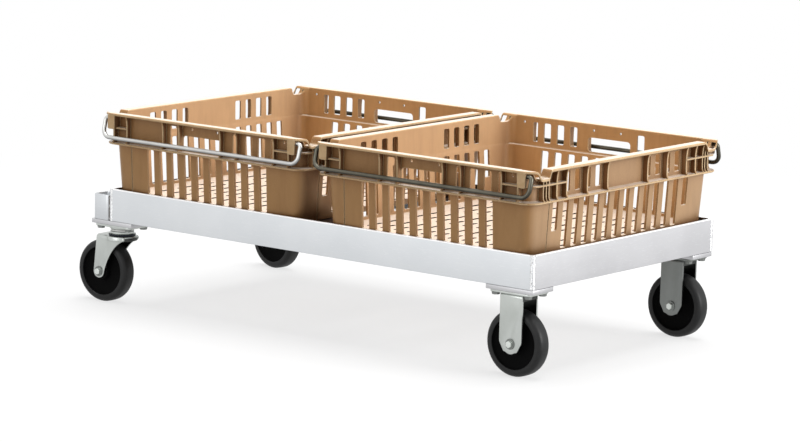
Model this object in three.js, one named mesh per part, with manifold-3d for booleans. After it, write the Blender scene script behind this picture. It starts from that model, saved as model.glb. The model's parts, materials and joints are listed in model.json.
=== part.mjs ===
// Tray dolly: a four-wheeled frame of lipped aluminium channel that carries two slotted plastic trays.
// Millimetres, +Z up, origin on the floor under the middle of the whole dolly. The swivelling
// wheels are at the -X end, the fixed ones at the +X end.
import * as THREE from 'three';
import { mergeVertices } from 'three/addons/utils/BufferGeometryUtils.js';
import Module from 'manifold-3d';

const wasm = await Module();
wasm.setup();

// Frame: the rims of the trays reach past its ends and its sides
const rimOverhangLong = 9.5;
const rimOverhangWide = 15.5;
const railHeight = 65;
const railLedge = 65;
const railShelf = 70;
const railLip = 13;
const railWall = 5;
const seam = 0.3;

// Corner pads and the plates, bolts and stack heights of the casters
const padLength = 107;
const padThickness = 8.5;
const padOverhang = 49.5;
const plateLength = 92;
const plateWidth = 62;
const plateWall = 4;
const boltSpacingLong = 73;
const boltSpacingWide = 44;
const boltRadius = 4;
const boltHeadRadius = 7.5;
const boltHeadHeight = 5.2;
const boltTipCover = 1.2;

// Wheels and their axles
const wheelRadius = 62.5;
const treadWidth = 32;
const treadShoulder = 9;
const webRadius = 49;
const webWidth = 16;
const hubRadius = 18;
const hubWidth = 38;
const hubChamfer = 2;
const bushRadius = 8;
const axleRadius = 5;
const axleHeadRadius = 8;
const axleHeadHeight = 5.5;
const axleNutHeight = 6.5;
const axleTail = 3;

// Forks
const forkWidth = 48;
const forkWall = 3.5;
const rigidForkLength = 50;
const rigidForkDrop = 18.5;
const rigidLipDrop = 16;
const swivelLead = 40;
const swivelEyeRadius = 13;
const swivelBackMargin = 5.5;
const legBendShares = [0.47, 0.53];
const frontCasterTurn = THREE.MathUtils.degToRad(2.7);
const backCasterTurn = THREE.MathUtils.degToRad(-8);
const crownRadius = 31;
const crownWall = 4.2;
const crownSkirt = 5;

// Swivel bearing, from the plate down
const upperRaceRadius = 25;
const upperRaceHeight = 4.7;
const ballRingRadius = 23;
const ballRingInner = 15;
const ballRingHeight = 4.4;
const lowerRaceRadius = 27;
const lowerRaceHeight = 5.4;
const lowerRaceNeck = 3.3;
const lowerRaceNeckRadius = 25.5;
const kingpinRadius = 6;
const kingpinHeadRadius = 11;
const kingpinHeadHeight = 6.5;
const kingpinWheelGap = 1.3;

// Handle sockets at the swivel end
const socketWidth = 40;
const socketWall = 3;
const socketHeight = 50.5;
const socketCorner = 6;
const socketWeldGap = 4;

// Trays: the rim, the ledge below the apron, and the tapered body
const trayLength = 517;
const trayDepth = 611;
const trayHeight = 166;
const trayGap = 25;
const trayShiftLeft = -3;
const trayShiftRight = -5;
const rimCorner = 28;
const rimLip = 5;
const apronHeight = 58;
const ledgeWall = 4;
const ledgeInset = 3.5;
const apronInsetLong = 18;
const apronInsetWide = 16.5;
const bodyInsetLong = 18.5;
const bodyInsetWide = 20.8;
const baseInsetLong = 24.8;
const baseInsetWide = 26.5;
const bodyCorner = 20;
const trayWall = 3;
const trayFloor = 4;

// Slots and windows: their pitch along a side is a share of that side of the tray
const endPitchShare = 0.0525368;
const longPitchShare = 0.062089;
const slotWidth = 17;
const slotBottom = 12;
const slotLedgeDrop = 7;
const shortSlotLength = 54.5;
const windowLedgeGap = 8;
const windowRimDrop = 11;
const handLedgeGap = 3;
const handRimDrop = 27;
const screwHoleRadius = 2.2;
const screwHoleDrop = 12.5;
const screwHoleShares = [-1, 1, 6.26];

// Apron ribs
const ribWall = 4;
const thinRibWall = 2.5;
const midRibDrop = 29;
const midRibWall = 3;

// Bails and the blocks that carry them
const wireRadius = 4.25;
const bailEndInset = 8.5;
const bailLeg = 39;
const bailInset = 7;
const bailPivotDrop = 9.8;
const bailLean = THREE.MathUtils.degToRad(14);
const bailTopBend = 6;
const bailBarBend = 17;
const blockEndInset = 18.5;
const blockWidth = 18;
const blockDrop = 31;
const bailTail = 13;
const wireClearance = 1.5;
const notchDepth = 15;
const saddleWall = 3;
const notchSlack = 1;
const notchFlat = 20;
const notchInnerRun = 4;
const notchOuterRun = 12;

// How far every cut runs past what it cuts
const overrun = 4;

// Facets round a circle
const wheelSides = 24;
const ringSides = 16;
const boltSides = 8;
const wireSides = 8;
const hexSides = 6;
const cornerSteps = 3;
const bendSteps = 3;

const traySpacing = trayLength + trayGap;
const frameLength = traySpacing + trayLength - 2 * rimOverhangLong;
const frameWidth = trayDepth - 2 * rimOverhangWide;
const halfLength = frameLength / 2;
const halfWidth = frameWidth / 2;
const bearingHeight = upperRaceHeight + ballRingHeight + lowerRaceHeight + lowerRaceNeck + 3 * seam;
const casterHeight = 2 * wheelRadius + kingpinWheelGap + kingpinHeadHeight + seam + crownWall
  + bearingHeight + plateWall;
const railBottom = casterHeight + padThickness + 2 * seam;
const plateBottom = casterHeight - plateWall;
const padWidth = railLedge;
const casterY = halfWidth - padWidth / 2;
const rigidX = halfLength - padLength / 2;
const swivelX = -(halfLength + padOverhang - padLength / 2);
const shelfTop = railHeight - railLip;
const trayBase = railBottom + shelfTop + seam;
const halfTrayLength = trayLength / 2;
const halfTrayDepth = trayDepth / 2;

const finishes = {
  aluminium: { color: 0xd3d7da, roughness: 0.42, metalness: 0.9 },
  zinc: { color: 0xc4c8c6, roughness: 0.35, metalness: 0.95 },
  rubber: { color: 0x17181b, roughness: 0.6, metalness: 0 },
  steel: { color: 0xb4b7b5, roughness: 0.28, metalness: 1 },
  plastic: { color: 0xc99f75, roughness: 0.5, metalness: 0 },
};

const dolly = new THREE.Group();

// Solids

function solidOf(geometry) {
  const bare = geometry.clone();
  for (const name of Object.keys(bare.attributes)) {
    if (name !== 'position') bare.deleteAttribute(name);
  }
  const merged = mergeVertices(bare);
  return new wasm.Manifold(new wasm.Mesh({
    numProp: 3,
    vertProperties: merged.attributes.position.array,
    triVerts: new Uint32Array(merged.index.array),
  }));
}

function geometryOf(solid) {
  const mesh = solid.getMesh();
  const geometry = new THREE.BufferGeometry();
  geometry.setAttribute('position', new THREE.Float32BufferAttribute(mesh.vertProperties, 3));
  geometry.setIndex([...mesh.triVerts]);
  return geometry;
}

function joined(solids) {
  return solids.reduce((whole, piece) => whole.add(piece));
}

function cut(solid, tools) {
  return tools.reduce((whole, tool) => whole.subtract(tool), solid);
}

function place(name, finish, solid, x = 0, y = 0, z = 0, turn = 0) {
  const flat = geometryOf(solid).toNonIndexed();
  flat.computeVertexNormals();
  const mesh = new THREE.Mesh(flat, new THREE.MeshStandardMaterial(finishes[finish]));
  mesh.name = name;
  mesh.position.set(x, y, z);
  mesh.rotation.z = turn;
  dolly.add(mesh);
  return mesh;
}

// A box given by its lowest and highest corners
function block(x0, x1, y0, y1, z0, z1) {
  const box = new THREE.BoxGeometry(x1 - x0, y1 - y0, z1 - z0);
  box.translate((x0 + x1) / 2, (y0 + y1) / 2, (z0 + z1) / 2);
  return solidOf(box);
}

// An upright cylinder on its base height
function post(radius, z0, z1, sides, x = 0, y = 0) {
  const rod = new THREE.CylinderGeometry(radius, radius, z1 - z0, sides);
  rod.rotateX(Math.PI / 2);
  rod.translate(x, y, (z0 + z1) / 2);
  return solidOf(rod);
}

// A cylinder lying along Y
function rod(radius, y0, y1, sides, z = 0, x = 0) {
  const bar = new THREE.CylinderGeometry(radius, radius, y1 - y0, sides);
  bar.translate(x, (y0 + y1) / 2, z);
  return solidOf(bar);
}

// A body turned about Z from [radius, height] points that close on themselves
function turned(profile, sides) {
  const points = [...profile, profile[0]].map(([r, z]) => new THREE.Vector2(r, z));
  const lathe = new THREE.LatheGeometry(points, sides);
  lathe.rotateX(Math.PI / 2);
  return solidOf(outward(lathe));
}

// Turns a closed shell right side out if its volume comes out negative
function outward(geometry) {
  const bare = geometry.index ? geometry.toNonIndexed() : geometry;
  const p = bare.attributes.position;
  const [a, b, c] = [new THREE.Vector3(), new THREE.Vector3(), new THREE.Vector3()];
  let volume = 0;
  for (let i = 0; i < p.count; i += 3) {
    a.fromBufferAttribute(p, i);
    b.fromBufferAttribute(p, i + 1);
    c.fromBufferAttribute(p, i + 2);
    volume += a.dot(b.cross(c));
  }
  if (volume < 0) {
    for (let i = 0; i < p.count; i += 3) {
      a.fromBufferAttribute(p, i);
      b.fromBufferAttribute(p, i + 1);
      p.setXYZ(i, b.x, b.y, b.z);
      p.setXYZ(i + 1, a.x, a.y, a.z);
    }
  }
  return bare;
}

// A closed skin through rings of the same number of points, with flat end caps.
// flat gives the first and last ring as plane outlines, from which the caps are made.
function skinned(rings, flat) {
  const count = rings[0].length;
  const corners = rings.flat();
  const faces = [];
  for (let k = 0; k + 1 < rings.length; k += 1) {
    for (let i = 0; i < count; i += 1) {
      const j = (i + 1) % count;
      const [a, b, c, d] = [k * count + i, k * count + j, (k + 1) * count + j, (k + 1) * count + i];
      faces.push(a, b, c, a, c, d);
    }
  }
  const last = (rings.length - 1) * count;
  for (const [i, j, k] of THREE.ShapeUtils.triangulateShape(flat, [])) {
    faces.push(k, j, i, last + i, last + j, last + k);
  }
  const positions = faces.flatMap((i) => corners[i].toArray());
  const geometry = new THREE.BufferGeometry();
  geometry.setAttribute('position', new THREE.Float32BufferAttribute(positions, 3));
  return solidOf(outward(geometry));
}

// Outline of a rectangle with rounded corners, counter-clockwise
function roundedOutline(halfX, halfY, radius) {
  const points = [];
  const centres = [[1, 1, 0], [-1, 1, 1], [-1, -1, 2], [1, -1, 3]];
  for (const [sx, sy, quarter] of centres) {
    for (let i = 0; i <= cornerSteps; i += 1) {
      const angle = (quarter + i / cornerSteps) * (Math.PI / 2);
      points.push(new THREE.Vector2(
        sx * (halfX - radius) + radius * Math.cos(angle),
        sy * (halfY - radius) + radius * Math.sin(angle),
      ));
    }
  }
  return points;
}

// A tapered block with rounded corners: each level is [half X, half Y, corner radius, height]
function tapered(levels) {
  const rings = levels.map(([halfX, halfY, radius, z]) => (
    roundedOutline(halfX, halfY, radius).map((p) => new THREE.Vector3(p.x, p.y, z))));
  return skinned(rings, roundedOutline(...levels[0].slice(0, 3)));
}

// A plate of the outline drawn in X and Z, thick along Y
function sidePlate(outline, y0, y1) {
  const rings = [y0, y1].map((y) => outline.map((p) => new THREE.Vector3(p.x, y, p.y)));
  return skinned(rings, outline);
}

// A plate of the outline drawn in X and Y, thick along Z
function flatPlate(outline, z0, z1) {
  const rings = [z0, z1].map((z) => outline.map((p) => new THREE.Vector3(p.x, p.y, z)));
  return skinned(rings, outline);
}

// A round wire through points that lie in one plane, whose normal is given
function wire(points, radius, normal) {
  const unit = [];
  for (let i = 0; i < wireSides; i += 1) {
    const angle = (i / wireSides) * 2 * Math.PI;
    unit.push(new THREE.Vector2(Math.cos(angle), Math.sin(angle)));
  }
  const rings = points.map((point, i) => {
    const before = points[Math.max(i - 1, 0)];
    const after = points[Math.min(i + 1, points.length - 1)];
    const along = after.clone().sub(before).normalize();
    const side = new THREE.Vector3().crossVectors(along, normal).normalize();
    return unit.map((u) => point.clone()
      .addScaledVector(side, u.x * radius)
      .addScaledVector(normal, u.y * radius));
  });
  return skinned(rings, unit);
}

// Frame

// One side of the frame, mitred at both ends: a channel open inwards. Its foot lies on the pads,
// its shelf carries the trays, and the wall goes on above the shelf as a lip.
function mitredRail(length) {
  const outline = [
    [0, 0], [railLedge, 0], [railLedge, railWall], [railWall, railWall],
    [railWall, shelfTop - railWall], [railShelf, shelfTop - railWall], [railShelf, shelfTop],
    [railWall, shelfTop], [railWall, railHeight], [0, railHeight],
  ].map(([inward, up]) => new THREE.Vector2(inward, up));
  const rings = [-1, 1].map((end) => outline.map((p) => (
    new THREE.Vector3(end * (length / 2 - p.x - seam), p.x, p.y))));
  return skinned(rings, outline);
}

function makeFrame() {
  const long = mitredRail(frameLength);
  const short = mitredRail(frameWidth);
  place('rail_front', 'aluminium', long, 0, -halfWidth, railBottom);
  place('rail_back', 'aluminium', long, 0, halfWidth, railBottom, Math.PI);
  place('rail_right_end', 'aluminium', short, halfLength, 0, railBottom, Math.PI / 2);
  place('rail_left_end', 'aluminium', short, -halfLength, 0, railBottom, -Math.PI / 2);
}

// A square tube, open at both ends, that stands on the pad outside the end of the frame
function makeSocket(name, side) {
  const outer = roundedOutline(socketWidth / 2, socketWidth / 2, socketCorner);
  const inner = socketWidth / 2 - socketWall;
  const bore = roundedOutline(inner, inner, socketCorner - socketWall);
  const tube = cut(flatPlate(outer, 0, socketHeight), [flatPlate(bore, -overrun, socketHeight + overrun)]);
  const x = -(halfLength + socketWeldGap + socketWidth / 2);
  place(name, 'aluminium', tube, x, side * (halfWidth - socketWidth / 2), railBottom);
}

// Where the four bolts of a caster plate stand
function boltPlaces() {
  return [-1, 1].flatMap((sx) => [-1, 1].map((sy) => [sx * boltSpacingLong / 2, sy * boltSpacingWide / 2]));
}

function boltHoles(z0, z1) {
  return boltPlaces().map(([x, y]) => post(boltRadius + seam, z0 - overrun, z1 + overrun, boltSides, x, y));
}

function padSolid() {
  const pad = block(-padLength / 2, padLength / 2, -padWidth / 2, padWidth / 2, 0, padThickness);
  return cut(pad, boltHoles(0, padThickness));
}

// A hex bolt driven from below through the caster plate into the pad
function plateBolt() {
  const tip = padThickness + plateWall + 2 * seam - boltTipCover;
  return post(boltHeadRadius, -boltHeadHeight - seam, -seam, hexSides)
    .add(post(boltRadius, -boltHeadHeight / 2, tip, boltSides));
}

function makePad(corner, x, y) {
  place(`corner_pad_${corner}`, 'aluminium', padSolid(), x, y, casterHeight + seam);
  boltPlaces().forEach(([dx, dy], i) => {
    place(`plate_bolt_${corner}_${i + 1}`, 'zinc', plateBolt(), x + dx, y + dy, plateBottom);
  });
}

// Wheels and axles

// Black wheel with rounded shoulders, a recessed web and a wider hub. It stands on one of its
// facets, whose distance from the axle is the wheel's radius.
function wheelSolid() {
  const half = treadWidth / 2;
  const facet = Math.PI / wheelSides;
  const rim = wheelRadius / Math.cos(facet);
  const lower = rim - treadShoulder;
  const bevel = treadShoulder * Math.SQRT1_2;
  const shoulder = [lower + bevel, half - treadShoulder + bevel];
  const face = [
    [bushRadius, hubWidth / 2],
    [hubRadius - hubChamfer, hubWidth / 2],
    [hubRadius, hubWidth / 2 - hubChamfer],
    [hubRadius + hubChamfer, webWidth / 2],
    [webRadius - hubChamfer, webWidth / 2],
    [webRadius, half],
    [lower, half],
    shoulder,
    [rim, half - treadShoulder],
  ];
  const mirrored = face.map(([r, z]) => [r, -z]).reverse();
  return alongY(turned([...face, ...mirrored], wheelSides)).rotate([0, THREE.MathUtils.radToDeg(facet), 0]);
}

// Lays a body turned about Z down along Y
function alongY(solid) {
  return solid.rotate([90, 0, 0]);
}

function bushSolid() {
  const half = forkWidth / 2 - forkWall - seam;
  const outer = bushRadius - seam;
  const inner = axleRadius + seam;
  return alongY(turned([[inner, -half], [outer, -half], [outer, half], [inner, half]], ringSides));
}

function axleBolt() {
  const face = forkWidth / 2 + seam;
  return rod(axleHeadRadius, -face - axleHeadHeight, -face, hexSides)
    .add(rod(axleRadius, -face - axleHeadHeight / 2, face + axleNutHeight + axleTail, boltSides));
}

function axleNut() {
  const face = forkWidth / 2 + seam;
  const nut = rod(axleHeadRadius, face, face + axleNutHeight, hexSides);
  return cut(nut, [rod(axleRadius + seam, face - overrun, face + axleNutHeight + overrun, boltSides)]);
}

// The wheel, its bush, bolt and nut, turned about the kingpin by turn
function makeWheel(corner, x, y, turn) {
  place(`wheel_${corner}`, 'rubber', wheelSolid(), x, y, wheelRadius, turn);
  place(`bush_${corner}`, 'zinc', bushSolid(), x, y, wheelRadius, turn);
  place(`axle_bolt_${corner}`, 'zinc', axleBolt(), x, y, wheelRadius, turn);
  place(`axle_nut_${corner}`, 'zinc', axleNut(), x, y, wheelRadius, turn);
}

// Fixed casters

// The plate with the fork welded under it: two legs, and a lip at each end that ties them
function rigidFork() {
  const half = rigidForkLength / 2;
  const top = plateBottom + plateWall / 2;
  const eye = wheelRadius - rigidForkDrop + half;
  const outline = [new THREE.Vector2(half, top), new THREE.Vector2(-half, top)];
  const steps = 2 * bendSteps;
  for (let i = 0; i <= steps; i += 1) {
    const angle = Math.PI + (i / steps) * Math.PI;
    outline.push(new THREE.Vector2(half * Math.cos(angle), eye + half * Math.sin(angle)));
  }
  const outer = forkWidth / 2;
  const inner = outer - forkWall;
  const legs = [sidePlate(outline, -outer, -inner), sidePlate(outline, inner, outer)];
  const crown = block(-half, half, -outer, outer, plateBottom - forkWall, top);
  const plate = block(-plateLength / 2, plateLength / 2, -plateWidth / 2, plateWidth / 2,
    plateBottom, casterHeight);
  const lips = [-1, 1].map((end) => {
    const ends = [end * half, end * (half - forkWall)].sort((a, b) => a - b);
    return block(ends[0], ends[1], -outer, outer, plateBottom - forkWall - rigidLipDrop, top);
  });
  const bore = rod(axleRadius + seam, -outer - overrun, outer + overrun, boltSides, wheelRadius);
  return cut(joined([...legs, crown, plate, ...lips]), [bore, ...boltHoles(plateBottom, casterHeight)]);
}

function makeRigidCaster(corner, side) {
  const y = side * casterY;
  place(`fork_${corner}`, 'zinc', rigidFork(), rigidX, y);
  makeWheel(corner, rigidX, y, 0);
}

// Swivel casters

const upperRaceBottom = plateBottom - upperRaceHeight;
const ballRingTop = upperRaceBottom - seam;
const lowerRaceTop = ballRingTop - ballRingHeight - seam;
const lowerRaceFoot = lowerRaceTop - lowerRaceHeight;
const crownTop = lowerRaceFoot - lowerRaceNeck - seam;
const crownBottom = crownTop - crownWall;

// The plate with its pressed raceway and the kingpin's hole
function swivelPlate() {
  const half = [plateLength / 2, plateWidth / 2];
  const plate = block(-half[0], half[0], -half[1], half[1], plateBottom, casterHeight)
    .add(post(upperRaceRadius, upperRaceBottom, plateBottom + plateWall / 2, ringSides));
  const bore = post(kingpinRadius + seam, upperRaceBottom - overrun, casterHeight + overrun, boltSides);
  return cut(plate, [...boltHoles(plateBottom, casterHeight), bore]);
}

function ring(outer, inner, z0, z1) {
  return turned([[inner, z0], [outer, z0], [outer, z1], [inner, z1]], ringSides);
}

// The lower race, a disc on a narrower neck
function lowerRace() {
  const bore = kingpinRadius + seam;
  return turned([
    [bore, crownTop + seam],
    [lowerRaceNeckRadius, crownTop + seam],
    [lowerRaceNeckRadius, lowerRaceFoot],
    [lowerRaceRadius, lowerRaceFoot],
    [lowerRaceRadius, lowerRaceTop],
    [bore, lowerRaceTop],
  ], ringSides);
}

function kingpin() {
  const headTop = crownBottom - seam;
  return post(kingpinHeadRadius, headTop - kingpinHeadHeight, headTop, ringSides)
    .add(post(kingpinRadius, headTop - kingpinHeadHeight / 2, casterHeight - seam, boltSides));
}

// Side view of a swivel fork's leg, from the crown back to the axle
function swivelLeg() {
  const back = -(swivelLead + swivelBackMargin);
  const front = Math.sqrt(crownRadius ** 2 - (forkWidth / 2) ** 2);
  const backTop = new THREE.Vector2(back, crownTop);
  const frontTop = new THREE.Vector2(front, crownTop);
  const frontFoot = new THREE.Vector2(front, crownBottom);
  const eye = new THREE.Vector2(-swivelLead, wheelRadius);
  const eyeFront = new THREE.Vector2(eye.x + swivelEyeRadius, eye.y);
  const outline = [frontTop, backTop];
  const steps = 2 * bendSteps;
  for (let i = 0; i <= steps; i += 1) {
    const angle = Math.PI + (i / steps) * Math.PI;
    outline.push(new THREE.Vector2(
      eye.x + swivelEyeRadius * Math.cos(angle),
      eye.y + swivelEyeRadius * Math.sin(angle),
    ));
  }
  const elbow = new THREE.Vector2(
    eyeFront.x + legBendShares[0] * (frontFoot.x - eyeFront.x),
    eyeFront.y + legBendShares[1] * (frontFoot.y - eyeFront.y),
  );
  const bend = new THREE.QuadraticBezierCurve(eyeFront, elbow, frontFoot);
  return [...outline, ...bend.getPoints(2 * bendSteps).slice(1)];
}

// Top view of the crown: a disc under the race that widens back over the wheel
function crownOutline() {
  const back = -(swivelLead + swivelBackMargin);
  const half = forkWidth / 2;
  const sweep = Math.PI - Math.asin(half / crownRadius);
  const outline = [new THREE.Vector2(back, half), new THREE.Vector2(back, -half)];
  const steps = 4 * bendSteps;
  for (let i = 0; i <= steps; i += 1) {
    const angle = sweep * ((2 * i) / steps - 1);
    outline.push(new THREE.Vector2(crownRadius * Math.cos(angle), crownRadius * Math.sin(angle)));
  }
  return outline;
}

function swivelFork() {
  const outer = forkWidth / 2;
  const inner = outer - forkWall;
  const leg = swivelLeg();
  const crown = flatPlate(crownOutline(), crownBottom, crownTop);
  const skirt = ring(crownRadius, crownRadius - forkWall, crownBottom - crownSkirt, crownTop - crownWall / 2);
  const kingpinReach = (kingpinRadius + seam) / Math.cos(Math.PI / boltSides);
  const kingpinHole = post(kingpinReach, crownBottom - overrun, crownTop + overrun, boltSides);
  const axleEnd = outer + overrun;
  const axleHole = rod(axleRadius + seam, -axleEnd, axleEnd, boltSides, wheelRadius, -swivelLead);
  return cut(
    joined([crown, skirt, sidePlate(leg, -outer, -inner), sidePlate(leg, inner, outer)]),
    [kingpinHole, axleHole],
  );
}

function makeSwivelCaster(corner, side, turn) {
  const y = side * casterY;
  place(`caster_plate_${corner}`, 'zinc', swivelPlate(), swivelX, y);
  const balls = ring(ballRingRadius, ballRingInner, ballRingTop - ballRingHeight, ballRingTop);
  place(`ball_ring_${corner}`, 'steel', balls, swivelX, y);
  place(`lower_race_${corner}`, 'zinc', lowerRace(), swivelX, y);
  place(`kingpin_${corner}`, 'zinc', kingpin(), swivelX, y);
  place(`fork_${corner}`, 'zinc', swivelFork(), swivelX, y, 0, turn);
  const wheelX = swivelX - swivelLead * Math.cos(turn);
  makeWheel(corner, wheelX, y - swivelLead * Math.sin(turn), turn);
}

// Trays

const apronX = halfTrayLength - apronInsetLong;
const apronY = halfTrayDepth - apronInsetWide;
const edgeX = halfTrayLength - ledgeInset;
const edgeY = halfTrayDepth - ledgeInset;
const bailY = halfTrayDepth - bailInset;
const bailHalfWidth = halfTrayLength - bailEndInset;
const blockOuter = halfTrayLength - blockEndInset;
const blockInner = blockOuter - blockWidth;
const notchCentre = bailY - bailLeg + notchSlack;
const ledgeHeight = trayHeight - apronHeight;
const slotTop = ledgeHeight - slotLedgeDrop;
const shortSlotBottom = slotTop - shortSlotLength;
const windowBottom = ledgeHeight + windowLedgeGap;
const windowTop = trayHeight - windowRimDrop;
const handBottom = ledgeHeight + handLedgeGap;
const handTop = trayHeight - handRimDrop;
const screwHoleHeight = trayHeight - screwHoleDrop;
const midRibHeight = trayHeight - midRibDrop;
const blockBottom = trayHeight - blockDrop;
const bailPivotHeight = trayHeight - bailPivotDrop;
const endPitch = trayDepth * endPitchShare;
const longPitch = trayLength * longPitchShare;

// Places along a side, in pitches from its middle
const endRibShares = [2, 4, 6, 7.05];
const thinRibShares = [7.8, 8.06, 8.33];
const endWindowShares = [2.5, 3.5, 4.5, 5.5];
const longRibShares = [-7.15, -6.07, -3.12, -1.81, 1.48, 2.76, 5.67, 6.82];
const longWindowShares = [-2.5, 2.5, 3.5, 4.5];
const halfWindowShares = [5.23, 5.58];
const longSlots = 10;
const endSlots = 14;

// The thin tapered tub: body up to the ledge, then the wider apron wall
function tubSolid() {
  const level = (halfX, halfY, wall, z) => [halfX - wall, halfY - wall, bodyCorner - wall, z];
  const levels = (wall, bottom, top) => [
    level(halfTrayLength - baseInsetLong, halfTrayDepth - baseInsetWide, wall, bottom),
    level(halfTrayLength - bodyInsetLong, halfTrayDepth - bodyInsetWide, wall, ledgeHeight),
    level(apronX, apronY, wall, ledgeHeight),
    level(apronX, apronY, wall, top),
  ];
  return cut(tapered(levels(0, 0, trayHeight)), [tapered(levels(trayWall, trayFloor, trayHeight + overrun))]);
}

// A flat frame round the tub, from the outline given in to a hole
function collar(halfX, halfY, corner, holeX, holeY, z0, z1) {
  const hole = roundedOutline(holeX, holeY, bodyCorner - trayWall);
  return cut(flatPlate(roundedOutline(halfX, halfY, corner), z0, z1), [
    flatPlate(hole, z0 - overrun, z1 + overrun),
  ]);
}

// An upright rib from the ledge to the rim, on an end wall at y
function endRib(y, wall) {
  const half = wall / 2;
  return [-1, 1].map((end) => {
    const [x0, x1] = [end * (apronX - trayWall / 2), end * edgeX].sort((a, b) => a - b);
    return block(x0, x1, y - half, y + half, ledgeHeight - ledgeWall / 2, trayHeight - rimLip / 2);
  });
}

function endRibs() {
  return [-1, 1].flatMap((side) => [
    ...endRibShares.flatMap((share) => endRib(side * share * endPitch, ribWall)),
    ...thinRibShares.flatMap((share) => endRib(side * share * endPitch, thinRibWall)),
  ]);
}

// Ribs, level ribs and the bail's blocks of the -Y side; the +Y side is its half turn
function longSideSolids() {
  const [y0, y1] = [-edgeY, -(apronY - trayWall / 2)];
  const top = trayHeight - rimLip / 2;
  const ribs = longRibShares.map((share) => {
    const x = share * longPitch;
    return block(x - ribWall / 2, x + ribWall / 2, y0, y1, ledgeHeight - ledgeWall / 2, top);
  });
  const pairs = [longRibShares.slice(0, 2), longRibShares.slice(-2)];
  const [z0, z1] = [midRibHeight - midRibWall / 2, midRibHeight + midRibWall / 2];
  const levels = pairs.map(([a, b]) => block(a * longPitch, b * longPitch, y0, y1, z0, z1));
  const blocks = [[-blockOuter, -blockInner], [blockInner, blockOuter]].map(([x0, x1]) => (
    block(x0, x1, -halfTrayDepth, y1, blockBottom, top)));
  return [...ribs, ...levels, ...blocks];
}

// Level ribs that tie the corner ribs of an end wall together
function endLevelRibs() {
  const inner = endRibShares[2] * endPitch;
  const outer = thinRibShares[2] * endPitch;
  return [-1, 1].flatMap((end) => [-1, 1].map((side) => {
    const [x0, x1] = [end * (apronX - trayWall / 2), end * edgeX].sort((a, b) => a - b);
    const [y0, y1] = [side * inner, side * outer].sort((a, b) => a - b);
    return block(x0, x1, y0, y1, midRibHeight - midRibWall / 2, midRibHeight + midRibWall / 2);
  }));
}

// Shelves under the dips of the end rims, on which a swung-in bail lies
function notchSaddles() {
  const top = trayHeight - notchDepth;
  const inner = notchCentre - notchFlat / 2 - notchInnerRun;
  const outer = notchCentre + notchFlat / 2 + notchOuterRun;
  return [-1, 1].flatMap((end) => [-1, 1].map((side) => {
    const [x0, x1] = [end * (apronX - trayWall), end * edgeX].sort((a, b) => a - b);
    const [y0, y1] = [side * inner, side * outer].sort((a, b) => a - b);
    return block(x0, x1, y0, y1, top - saddleWall, top);
  }));
}

// Cuts that run through both end walls, and through both long walls
function throughCuts() {
  const farX = edgeX + overrun;
  const farY = edgeY + overrun;
  const half = slotWidth / 2;
  const cuts = [];
  for (let i = 0; i < endSlots; i += 1) {
    const y = (i - (endSlots - 1) / 2) * endPitch;
    const last = i === 0 || i === endSlots - 1;
    cuts.push(block(-farX, farX, y - half, y + half, last ? shortSlotBottom : slotBottom, slotTop));
  }
  for (let i = 0; i < longSlots; i += 1) {
    const x = (i - (longSlots - 1) / 2) * longPitch;
    cuts.push(block(x - half, x + half, -farY, farY, slotBottom, slotTop));
  }
  for (const share of endWindowShares.flatMap((s) => [-s, s])) {
    const y = share * endPitch;
    cuts.push(block(-farX, farX, y - half, y + half, windowBottom, windowTop));
  }
  return cuts;
}

// Windows, hand hole, screw holes and wire holes of the -Y side; the +Y side is its half turn
function longSideCuts() {
  const [y0, y1] = [-halfTrayDepth - overrun, -(apronY - trayWall - overrun)];
  const half = slotWidth / 2;
  const windows = longWindowShares.map((share) => (
    block(share * longPitch - half, share * longPitch + half, y0, y1, windowBottom, windowTop)));
  const narrow = block(halfWindowShares[0] * longPitch, halfWindowShares[1] * longPitch,
    y0, y1, windowBottom, windowTop);
  const hand = [longRibShares[3] * longPitch + ribWall / 2, longRibShares[4] * longPitch - ribWall / 2];
  const handle = block(hand[0], hand[1], y0, y1, handBottom, handTop);
  const screws = screwHoleShares.map((share) => (
    rod(screwHoleRadius, y0, y1, hexSides, screwHoleHeight, share * longPitch)));
  return [...windows, narrow, handle, ...screws, ...wireHoles()];
}

// The bails' pivot holes, whose facets clear the wire as it turns
function wireHoles() {
  const length = bailTail + seam + overrun;
  const reach = (wireRadius + seam) / Math.cos(Math.PI / wireSides);
  return [-1, 1].map((end) => {
    const hole = new THREE.CylinderGeometry(reach, reach, length, wireSides);
    hole.rotateZ(Math.PI / 2);
    hole.translate(end * (blockOuter + overrun - length / 2), -bailY, bailPivotHeight);
    return solidOf(hole);
  });
}

// The dips in the end rims where a swung-in bail lies, and the slots that let its legs through
function rimCuts() {
  const floor = trayHeight - notchDepth;
  const above = trayHeight + overrun;
  const half = notchFlat / 2;
  const outline = [
    [notchCentre - half, floor],
    [notchCentre + half, floor],
    [notchCentre + half + notchOuterRun, trayHeight],
    [notchCentre + half + notchOuterRun, above],
    [notchCentre - half - notchInnerRun, above],
    [notchCentre - half - notchInnerRun, trayHeight],
  ];
  const legReach = wireRadius + wireClearance;
  return [-1, 1].flatMap((end) => [-1, 1].flatMap((side) => {
    const [x0, x1] = [end * (apronX - bodyCorner), end * (halfTrayLength + overrun)].sort((a, b) => a - b);
    const rings = [x0, x1].map((x) => outline.map(([y, z]) => new THREE.Vector3(x, side * y, z)));
    const dip = skinned(rings, outline.map(([y, z]) => new THREE.Vector2(y, z)));
    const [y0, y1] = [side * notchCentre, side * (halfTrayDepth + overrun)].sort((a, b) => a - b);
    const [leg0, leg1] = [end * (bailHalfWidth - legReach), x1 + x0 - end * (apronX - bodyCorner)]
      .sort((a, b) => a - b);
    return [dip, block(leg0, leg1, y0, y1, floor, above)];
  }));
}

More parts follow.
